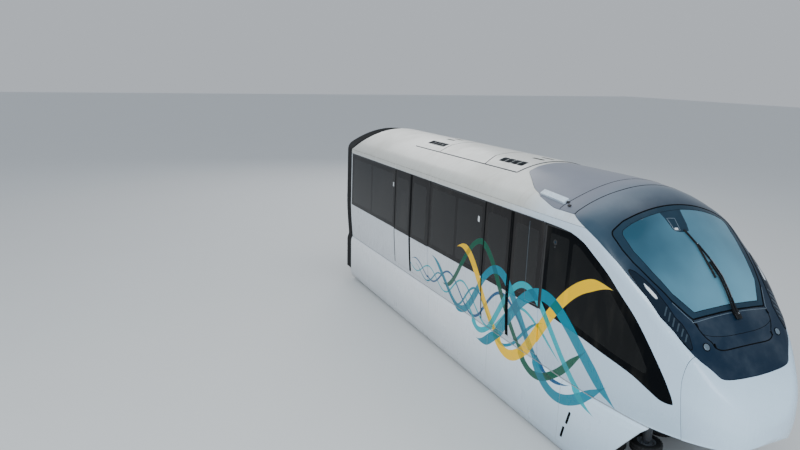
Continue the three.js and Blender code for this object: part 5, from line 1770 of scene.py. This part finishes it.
# Rear end: bulkhead with its frame, tread plate and drawbar
GANGWAY_HALF = 0.650
GANGWAY_TOP_Z = 2.750
GANGWAY_FRAME = [
    (-0.045, -0.012), (0.006, -0.012), (0.006, 0.006), (0.0, 0.012), (-0.040, 0.012), (-0.045, 0.006),
]
FRAME_BOLT_OUT = 0.062
TREADS = {"rows": 13, "columns": 28, "x": (-0.455, 0.040), "y": (-0.57, 0.0422)}
COUPLER_Z = 0.425
COUPLER_X = REAR - 0.480
# Blocks of the drawbar: low and high corner, bevel
COUPLER_BLOCKS = [
    ((COUPLER_X + 0.020, -0.062, 0.384), (-6.380, 0.062, 0.466), 0.012),
    ((-6.560, -0.220, 0.382), (-6.380, 0.220, 0.469), 0.012),
    ((COUPLER_X + 0.013, -0.160, 0.321), (COUPLER_X + 0.031, 0.160, 0.509), 0.006),
]
# Bolts through the coupler's plate: offset along x, direction, height
COUPLER_BOLTS = [(0.014, -1, 0.012), (0.030, 1, 0.014)]
COUPLER_BUFFER = [(0, 0.0), (0.085, 0.0), (0.085, 0.070), (0.078, 0.078), (0, 0.078)]


def gangway_frame():
    parts = Parts()
    x = REAR + 0.004
    corners = [(-GANGWAY_HALF, FLOOR_Z + 0.02), (-GANGWAY_HALF, GANGWAY_TOP_Z, 0.03),
               (GANGWAY_HALF, GANGWAY_TOP_Z, 0.03), (GANGWAY_HALF, FLOOR_Z + 0.02)]
    outline = dense(rounded(corners, 6), 0.1, closed=False)
    parts.sweep([Vector((x, y, z)) for y, z in outline], [Vector((-1, 0, 0))] * len(outline), GANGWAY_FRAME)
    for y, z in dense(outline, 0.22, closed=False)[::3]:
        if abs(z - GANGWAY_TOP_Z) > 0.04:
            y += math.copysign(FRAME_BOLT_OUT, y)
        else:
            z += FRAME_BOLT_OUT
        parts.bolt((x + 0.001, y, z), (-1, 0, 0), 0.010, 0.008)
    parts.make("gangway_frame", [ALUMINIUM], slot="handrail_steel")


def tread_plate():
    parts = Parts()
    parts.block((REAR - 0.478, -0.598, FLOOR_Z + 0.0115), (REAR + 0.058, 0.598, FLOOR_Z + 0.0150), 0.001)
    (x0, dx), (y0, dy) = TREADS["x"], TREADS["y"]
    for i, j in product(range(TREADS["rows"]), range(TREADS["columns"])):
        at = Vector((REAR + x0 + i * dx, y0 + j * dy, FLOOR_Z + 0.0157))
        turn = Matrix.Rotation(math.radians(45 if (i + j) % 2 else -45), 3, "Z")
        parts.box(at, (0.015, 0.0035, 0.0012), 0.001, 0, turn)
    parts.make("gangway_tread_plate", [ALUMINIUM], slot="handrail_steel")


def drawbar():
    parts = Parts()
    for low, high, bevel in COUPLER_BLOCKS:
        parts.block(low, high, bevel)
    for sign in (-1, 1):
        for dz, (dx, way, height) in product((-0.062, 0.062), COUPLER_BOLTS):
            parts.bolt((COUPLER_X + dx, sign * 0.120, 0.415 + dz), (way, 0, 0), 0.016, height, 1)
        y = sign * 0.085
        parts.block((COUPLER_X + 0.030, y - 0.005, 0.345), (COUPLER_X + 0.110, y + 0.005, 0.490), 0.003)
    parts.lathe(COUPLER_BUFFER, (COUPLER_X + 0.150, 0, COUPLER_Z), (1, 0, 0), 32, 2)
    parts.make("rear_drawbar_link", [BOGIE, BRIGHT, SEAL], replaced=["rear_drawbar"], slot="underframe_steel")


softened("rear_bulkhead", INNER_WHITE, 0.006)
gangway_frame()
tread_plate()
drawbar()

# Underframe, floor, housings and the equipment under the floor
softened("underframe", STEEL, 0.005)
softened("floor", FLOORING, 0.003)
softened("wheel_housing_rear", HOUSING, 0.010)
softened("wheel_housing_front", HOUSING, 0.010)
PIPE_X = (-3.82, 3.00)
PIPE_Y = (0.30, 0.375, 0.45)
PIPE_Z = 0.600
PIPE_CLIPS_X = (-3.4, -2.4, -1.2, 0.4, 1.7, 2.9)
OUTRIGGER_X = (-3.75, -1.60, -0.15, 1.35)
OUTRIGGER_BOLTS_Y = (1.14, 1.38)


def under_floor():
    parts = Parts()
    for sign in (-1, 1):
        for y in PIPE_Y:
            start, end = (Vector((x, sign * y, PIPE_Z)) for x in PIPE_X)
            parts.rod(start, end, 0.018, 12, 1)
        y = sign * 0.42
        for x in PIPE_CLIPS_X:
            parts.block((x - 0.02, y - 0.17, 0.572), (x + 0.02, y + 0.13, 0.584), 0.003)
            parts.block((x - 0.02, y - 0.17, 0.584), (x + 0.02, y - 0.16, 0.640), 0.002)
        for x, y in product(OUTRIGGER_X, OUTRIGGER_BOLTS_Y):
            parts.bolt((x, sign * y, 0.4705), (0, 0, -1), 0.014, 0.008, 2)
    parts.make("under_floor_pipes", [STEEL, ALUMINIUM, BRIGHT], slot="underframe_steel")


under_floor()

# Belly: closes the body from the floor's front edge to the cowl
BELLY_X = (5.560, 5.700, 5.850, 5.980, 6.112)


def belly():
    parts = Parts()
    rings = []
    for x in BELLY_X:
        half, z = half_width(x) * 0.955 - 0.072, belly_z(x)
        across = [(x, half * k / 8, z + 0.004) for k in range(-8, 9)]
        rings.append(across + [(x, y, z + 0.016) for _, y, _ in reversed(across)])
    parts.loft(rings)
    parts.make("belly_panel", [WHITE], slot="white_paint")


belly()

# Cabin: benches with separate cushions, handrails, ceiling lights and the driving desk
SEAT_Z = 1.130
SEAT_WALL_Y = 1.440
SEAT_PITCH = 0.46
SEAT_RUNS = {"rear": (-6.500, -3.300), "middle": (-1.350, 1.170)}
ISLAND_X = -5.145
RAIL_Y, RAIL_Z = 0.520, 2.700
RAIL_RADIUS = 0.0168
POLE_X = (-3.25, -1.4, -0.09, 1.22, 3.07)
HANGER_X = (-6.0, -4.7)
POLE_FOOT = [(0.0170, 0), (0.045, 0), (0.045, 0.006), (0.024, 0.016), (0.0170, 0.030)]
DESK_SCREENS_Y = (-0.60, -0.15, 0.30)
DESK_KNOB = [(0, -0.03), (0.022, -0.022), (0.026, 0), (0.022, 0.022), (0, 0.03)]
CEILING_RUNS = [(-6.5, -3.6), (-3.4, -0.2), (0.0, 2.9)]


def bench(name, x0, x1, side, sign):
    parts = Parts()
    places = round((x1 - x0) / SEAT_PITCH)
    width = (x1 - x0) / places

    def slab(xs, ys, zs, bevel, slot):
        ys = sorted(sign * (SEAT_WALL_Y + y) for y in ys)
        parts.block(*zip(xs, ys, zs), bevel, slot)

    slab((x0, x1), (-0.26, 0.005), (FLOOR_Z + 0.001, SEAT_Z - 0.055), 0.008, 1)
    for k in range(places):
        ends = x0 + width * k + 0.006, x0 + width * (k + 1) - 0.006
        slab(ends, (-0.43, -0.005), (SEAT_Z - 0.060, SEAT_Z), 0.018, 0)
        slab(ends, (-0.010, 0.055), (SEAT_Z - 0.005, SEAT_Z + 0.48), 0.018, 0)
    parts.make(f"bench_{name}_{side}", [SEATS, HOUSING], replaced=[f"seat_bench_{name}_{side}"],
               slot="seat_plastic")


def island():
    parts = Parts()
    for y, way in product((-0.378, 0.002), (-1, 1)):
        ends = sorted((ISLAND_X + way * 0.045, ISLAND_X + way * 0.560))
        parts.block((ends[0], y, 1.1005), (ends[1], y + 0.372, 1.160), 0.018)
    parts.block((ISLAND_X - 0.040, -0.380, 1.150), (ISLAND_X + 0.040, 0.380, 1.620), 0.022)
    parts.make("island_seats", [SEATS], replaced=["seat_island"], slot="seat_plastic")


def ceiling_z(x):
    """Top of a pole or hanger: the underside of the air unit or of the roof."""
    return 3.800 if UNIT_X[0] < x < UNIT_X[1] else section(x).crown(RAIL_Y) - 0.073


def rails(side, sign):
    y, foot_z = sign * RAIL_Y, FLOOR_Z + 0.001
    parts = Parts()
    parts.rod((-6.300, y, RAIL_Z), (3.100, y, RAIL_Z), RAIL_RADIUS, 20)
    for x in POLE_X:
        parts.rod((x, y, foot_z), (x, y, ceiling_z(x)), RAIL_RADIUS, 20)
        parts.lathe(POLE_FOOT, (x, y, foot_z), UP, 24, closed=True)
        parts.box(Vector((x, y, RAIL_Z)), (0.028, 0.024, 0.024), 0.010)
    for x in HANGER_X:
        parts.rod((x, y, RAIL_Z), (x, y, ceiling_z(x)), RAIL_RADIUS, 20)
    parts.make(f"rails_{side}", [BRIGHT], replaced=[f"handrail_{side}"], slot="handrail_steel")


def desk_and_lights():
    softened("driving_desk", HOUSING, 0.020)
    desk = Parts()
    tilt = Matrix.Rotation(math.radians(-58), 3, "Y")
    for y in DESK_SCREENS_Y:
        at = Vector((5.045, y, 1.445))
        desk.box(at, (0.010, 0.165, 0.105), 0.008, 0, tilt)
        desk.box(at + tilt @ Vector((-0.011, 0, 0)), (0.002, 0.145, 0.085), 0.001, 1, tilt)
    desk.rod((5.02, 0.62, 1.385), (4.99, 0.62, 1.530), 0.013, 16)
    desk.lathe(DESK_KNOB, (4.985, 0.62, 1.545), UP, 20)
    desk.make("desk_controls", [BLACK, SCREEN_FRIT], slot="wiper_black")
    lights = Parts()
    for y, (x0, x1) in product((-0.820, 0.820), CEILING_RUNS):
        lights.block((x0, y - 0.050, 3.730), (x1, y + 0.050, 3.765), 0.012)
    lights.make("ceiling_lights", [LAMP], slot="interior_panel")


for name, ends in SEAT_RUNS.items():
    for side, sign in SIDES:
        bench(name, *ends, side, sign)
island()
for side, sign in SIDES:
    rails(side, sign)
desk_and_lights()

# Running gear
BOGIES = {"rear": -5.145, "front": 4.305}
BOLT_RINGS = 10
# Sizes of a wheel: tyre radius, half width, rim and bore radius, grooves, tread blocks
LOAD_WHEEL = (0.5025, 0.124, 0.280, 0.150, 4, 40)
SIDE_WHEEL = (0.2695, 0.0895, 0.150, 0.0503, 2, 28)
AXLE_Z = 0.503
LOAD_WHEEL_Y = 0.185
SIDE_WHEEL_Y = 0.615
GUIDE_X, GUIDE_Z = 0.780, -0.270
STABILISER_Z = -0.640
HALF_SHAFT = [(0.150, 0.070), (0.150, 0.285), (0.0695, 0.295), (0.0695, 0.554), (0.064, 0.559), (0, 0.559)]


def both_ends(profile):
    """A lathe profile of the upper half, continued from the lower half turned over."""
    return [(r, -h) for r, h in reversed(profile)] + profile


def wheel(parts, centre, axis, radius, half, rim, bore, grooves, blocks):
    """One tyre with grooved tread and notched shoulders on a dished rim with a ring of bolts."""
    centre, axis = Vector(centre), Vector(axis)
    turn = facing(axis, "Y")
    side = [(rim, half * 0.80), (rim + 0.012, half * 0.93), (rim + (radius - rim) * 0.45, half),
            (radius - 0.030, half - 0.004)]
    tread = []
    span = half - 0.018
    for g in range(grooves):
        at = span * (1 - 2 * (g + 1) / (grooves + 1))
        deep = radius - 0.010
        tread += [(radius, at + 0.008), (deep, at + 0.005), (deep, at - 0.005), (radius, at - 0.008)]
    other = [(r, -a) for r, a in reversed(side)]
    rings = []
    for k in range(blocks * 4):
        cut = 0.011 if k % 4 in (2, 3) else 0.0
        a = 2 * math.pi * (k + (0.35 if k % 2 else 0.0)) / (blocks * 4)
        profile = [*side, (radius - 0.006 - cut, span + 0.004), (radius - cut, span - 0.020), *tread,
                   (radius - cut, 0.020 - span), (radius - 0.006 - cut, -span - 0.004), *other]
        rings.append([centre + turn @ Vector((r * math.cos(a), r * math.sin(a), h)) for r, h in profile])
    parts.loft(rings, 0, closed=True)
    lip = half * 0.86
    dish = half * 0.45
    disc = [(bore, dish), (bore + 0.030, dish + 0.012), (bore + 0.060, dish), (rim * 0.80, dish - 0.010),
            (rim - 0.016, lip - 0.004), (rim + 0.006, lip), (rim + 0.006, lip - 0.010),
            (rim - 0.004, lip - 0.016)]
    parts.lathe([*disc, *[(r, -h) for r, h in reversed(disc)]], centre, axis, 48, 1, closed=True)
    for u, v in ring_points(BOLT_RINGS, bore + (rim * 0.80 - bore) * 0.62):
        for way in (-1, 1):
            at = centre + turn @ Vector((u, v, 0)) + axis * way * (dish - 0.008)
            parts.bolt(at, axis * way, 0.013, 0.014, 2)


def load_axle(end, bx):
    parts = Parts()
    centre = Vector((bx, 0, AXLE_Z))
    for way in (-1, 1):
        wheel(parts, centre + Vector((0, way * LOAD_WHEEL_Y, 0)), (0, 1, 0), *LOAD_WHEEL)
    parts.lathe(both_ends(HALF_SHAFT), centre, (0, 1, 0), 48, 1)
    for way in (-1, 1):
        for u, v in ring_points(6, 0.045):
            parts.bolt(centre + Vector((u, way * 0.557, v)), (0, way, 0), 0.009, 0.003, 2)
    parts.make(f"load_wheels_{end}_tyres", [TYRE, RIMS, BRIGHT], f"load_axle_{end}", [f"load_wheels_{end}"],
               "tyre_rubber")


def side_wheels(end, bx):
    for side, sign in SIDES:
        spots = {f"guide_wheel_{end}_{side}_lead": (GUIDE_X, GUIDE_Z),
                 f"guide_wheel_{end}_{side}_trail": (-GUIDE_X, GUIDE_Z),
                 f"stabiliser_wheel_{end}_{side}": (0.0, STABILISER_Z)}
        for name, (dx, z) in spots.items():
            parts = Parts()
            wheel(parts, (bx + dx, sign * SIDE_WHEEL_Y, z), UP, *SIDE_WHEEL)
            parts.make(f"{name}_tyre", [TYRE, RIMS, BRIGHT], f"{name}_body", [name], "guide_tyre_rubber")


CROSS_BEAM_X = 0.740
RIBS_Y = (0.70, 0.86, 1.02)
SPRING_Y = 1.200
SPRING_FOLDS = [(r, 0.352 + 0.034 * k + z) for k in range(3)
                for r, z in ((0.082, 0), (0.0945, 0.010), (0.0945, 0.024), (0.082, 0.034))]
# Air spring: material number and profile of its foot, bellows and top plate
SPRING = [
    (2, [(0, 0.320), (0.094, 0.320), (0.094, 0.342), (0.080, 0.346), (0.080, 0.352), (0, 0.352)]),
    (1, [(0.0, 0.350), *SPRING_FOLDS, (0, 0.454)]),
    (2, [(0, 0.452), (0.088, 0.452), (0.094, 0.458), (0.094, 0.4698), (0, 0.4698)]),
]
# Guide wheel's pin and the collars under and over the wheel: material number, whether a ring, profile
GUIDE_PIN = [
    (2, False, [(0, -0.400), (0.043, -0.400), (0.048, -0.395), (0.048, 0.130), (0, 0.130)]),
    (0, True, [(0.047, -0.398), (0.074, -0.398), (0.080, -0.392), (0.080, -0.370), (0.047, -0.369)]),
    (0, True, [(0.047, -0.171), (0.064, -0.171), (0.080, -0.150), (0.080, 0.128), (0.047, 0.128)]),
]
STABILISER_PIN = [
    (0, -0.779), (0.042, -0.779), (0.048, -0.774), (0.048, -0.506), (0.042, -0.501), (0, -0.501),
]
# Beams of one side of a bogie from its centre: x, |y| and z ranges, bevel
SIDE_BEAMS = [
    ((-0.700, 0.700), (0.400, 0.540), (0.120, 0.330), 0.010),
    ((-0.120, 0.120), (0.400, 1.010), (0.040, 0.150), 0.010),
    ((-0.110, 0.110), (0.930, 1.010), (-0.785, 0.060), 0.010),
    ((-0.080, 0.080), (0.550, 1.000), (-0.785, -0.742), 0.006),
    ((-0.080, 0.080), (0.550, 1.000), (-0.538, -0.495), 0.006),
    ((-0.102, -0.086), (0.790, 0.935), (-0.495, -0.300), 0.003),
    ((0.086, 0.102), (0.790, 0.935), (-0.495, -0.300), 0.003),
    ((-0.125, -0.010), (0.935, 0.945), (-0.400, 0.040), 0.002),
    ((0.010, 0.125), (0.935, 0.945), (-0.400, 0.040), 0.002),
]


def bogie(end, bx):
    parts = Parts()
    for way in (-1, 1):
        x = bx + way * CROSS_BEAM_X
        parts.block((x - 0.120, -1.310, 0.120), (x + 0.120, 1.310, 0.330), 0.014)
        for sign in (-1, 1):
            for y in RIBS_Y:
                y *= sign
                parts.block((x - 0.1225, y - 0.006, 0.130), (x + 0.1225, y + 0.006, 0.322), 0.002)
            for slot, profile in SPRING:
                parts.lathe(profile, (x, sign * SPRING_Y, 0), UP, 40, slot)
            pin = Vector((bx + way * GUIDE_X, sign * SIDE_WHEEL_Y, 0))
            for slot, hollow, profile in GUIDE_PIN:
                parts.lathe(profile, pin, UP, 32, slot, hollow)
            for u, v in ring_points(6, 0.062):
                parts.bolt(pin + Vector((u, v, -0.397)), (0, 0, -1), 0.008, 0.003, 2)
    for sign in (-1, 1):
        for xs, ys, zs, bevel in SIDE_BEAMS:
            parts.block(*zip([bx + x for x in xs], sorted(sign * y for y in ys), zs), bevel)
        axle_box(parts, bx, sign)
        parts.lathe(STABILISER_PIN, (bx, sign * SIDE_WHEEL_Y, 0), UP, 32, 2)
        for k, z in product(range(4), (0.060, 0.120)):
            parts.bolt((bx - 0.090 + 0.060 * k, sign * 1.009, z), (0, sign, 0), 0.011, 0.0088, 2)
    parts.make(f"bogie_{end}_frame", [BOGIE, BELLOWS, BRIGHT], f"bogie_{end}", [f"bogie_frame_{end}"],
               "bogie_steel")


AXLE_BOX = {"bore": 0.0712, "outer": 0.109, "y": (0.402, 0.538), "steps": 28, "bolts": 0.090}
AXLE_BOX_FOOT = [(-0.128, 0.335), (-0.128, 0.322), (0.128, 0.322), (0.128, 0.335)]


def axle_box(parts, bx, sign):
    """Housing round the axle's bearing, open for the axle, standing on the side beam."""
    y0, y1 = sorted(sign * y for y in AXLE_BOX["y"])
    outline = []
    for k in range(AXLE_BOX["steps"] + 1):
        a = math.radians(-40 + 260 * k / AXLE_BOX["steps"])
        outline.append((bx + AXLE_BOX["outer"] * math.cos(a), AXLE_Z + AXLE_BOX["outer"] * math.sin(a)))
    outline += [(bx + x, z) for x, z in AXLE_BOX_FOOT]
    rings = []
    for x, z in outline:
        a = math.atan2(z - AXLE_Z, x - bx)
        u, v = bx + AXLE_BOX["bore"] * math.cos(a), AXLE_Z + AXLE_BOX["bore"] * math.sin(a)
        rings.append([(x, y0, z), (x, y1, z), (u, y1, v), (u, y0, v)])
    parts.loft(rings, 0, closed=True)
    for u, v in ring_points(6, AXLE_BOX["bolts"], 0.5):
        parts.bolt((bx + u, y1 if sign > 0 else y0, AXLE_Z + v), (0, sign, 0), 0.009, 0.0075, 2)


MOTOR_Y = (0.600, 1.020)
MOTOR_Z = 0.362
MOTOR_FINS = 11
OUTER_BELL = [(0, -0.010), (0.175, -0.010), (0.170, 0.006), (0.120, 0.014), (0.060, 0.018), (0, 0.018)]
INNER_BELL = [(0, -0.010), (0.150, -0.010), (0.145, 0.012), (0.060, 0.024), (0, 0.024)]


def motor(end, bx):
    """Traction motor on the left of the wheels: a finned case with end bells and a terminal box."""
    parts = Parts()
    y0, y1 = MOTOR_Y
    parts.block((bx - 0.215, y0, 0.165), (bx + 0.215, y1, 0.560), 0.050)
    for k in range(MOTOR_FINS):
        y = y0 + 0.030 + 0.036 * k
        parts.block((bx - 0.238, y - 0.005, 0.190), (bx + 0.238, y + 0.005, 0.545), 0.004)
    for x in (bx - 0.175, bx + 0.175):
        parts.block((x - 0.045, y0 + 0.02, 0.1510), (x + 0.045, y1 - 0.02, 0.180), 0.004)
    parts.block((bx - 0.110, y0 + 0.08, 0.540), (bx + 0.110, y1 - 0.10, 0.589), 0.012, 1)
    for dx, dy in product((-0.09, 0.09), (0.10, 0.30)):
        parts.bolt((bx + dx, y0 + dy, 0.5855), UP, 0.008, 0.004, 2)
    parts.lathe(OUTER_BELL, (bx, y1, MOTOR_Z), (0, 1, 0), 48)
    parts.lathe(INNER_BELL, (bx, y0, MOTOR_Z), (0, -1, 0), 48)
    parts.make(f"traction_motor_{end}_case", [MOTOR, BOGIE, BRIGHT], f"bogie_{end}",
               [f"traction_motor_{end}"], "bogie_steel")


for end, bx in BOGIES.items():
    bogie(end, bx)
    motor(end, bx)
    load_axle(end, bx)
    side_wheels(end, bx)

# Floor, light and surroundings
FLOOR_HALF = 150
# Lights: name, place, target, size, power, colour
LIGHTS = [
    ("key", (14, -16, 16), (2, 0, 1.5), (12, 8), 3500, (0.88, 0.96, 1.0)),
    ("top", (-2, 2, 18), (0, 0, 2), (20, 8), 900, (1.0, 0.99, 0.96)),
    ("rim", (-26, 7, 16), (0, 0, 3), (12, 6), 1900, (1, 1, 1)),
    ("front", (17, -3, 5), (6.3, 0, 1.2), (5, 4), 420, (0.76, 0.88, 1.0)),
]


def stage():
    pale, shade = linear(212, 212, 210), linear(203, 203, 202)
    material, net, shader = new_material("studio_floor", pale)
    net.into(shader, Base_Color=net.mix(net.noise(0.4, 4) * 0.3, pale, shade), Roughness=0.75)
    mesh = bpy.data.meshes.new("studio_floor")
    corners = [(x * FLOOR_HALF, y * FLOOR_HALF, 0) for x, y in ((-1, -1), (1, -1), (1, 1), (-1, 1))]
    mesh.from_pydata(corners, [], [(0, 1, 2, 3)])
    mesh.materials.append(material)
    floor = bpy.data.objects.new("studio_floor", mesh)
    floor.location.z = CAD_BOX[0][2]
    bpy.context.scene.collection.objects.link(floor)


def surroundings():
    world = bpy.data.worlds.new("studio")
    world.use_nodes = True
    bpy.context.scene.world = world
    net = Net(world.node_tree)
    up = net.axes(net.node("TexCoord").outputs["Generated"])[2]
    sky = net.mix(net.step(up, 0.0, 0.7), linear(216, 222, 230), linear(226, 238, 252))
    net.into(world.node_tree.nodes["Background"], Color=sky, Strength=0.75)


def light(name, place_at, target, size, power, colour):
    data = bpy.data.lights.new(name, "AREA")
    data.shape = "RECTANGLE"
    data.size, data.size_y = size
    data.energy = power
    data.color = colour
    lamp = bpy.data.objects.new(name, data)
    lamp.location = place_at
    lamp.rotation_euler = (Vector(target) - Vector(place_at)).to_track_quat("-Z", "Y").to_euler()
    bpy.context.scene.collection.objects.link(lamp)


stage()
surroundings()
for row in LIGHTS:
    light(*row)
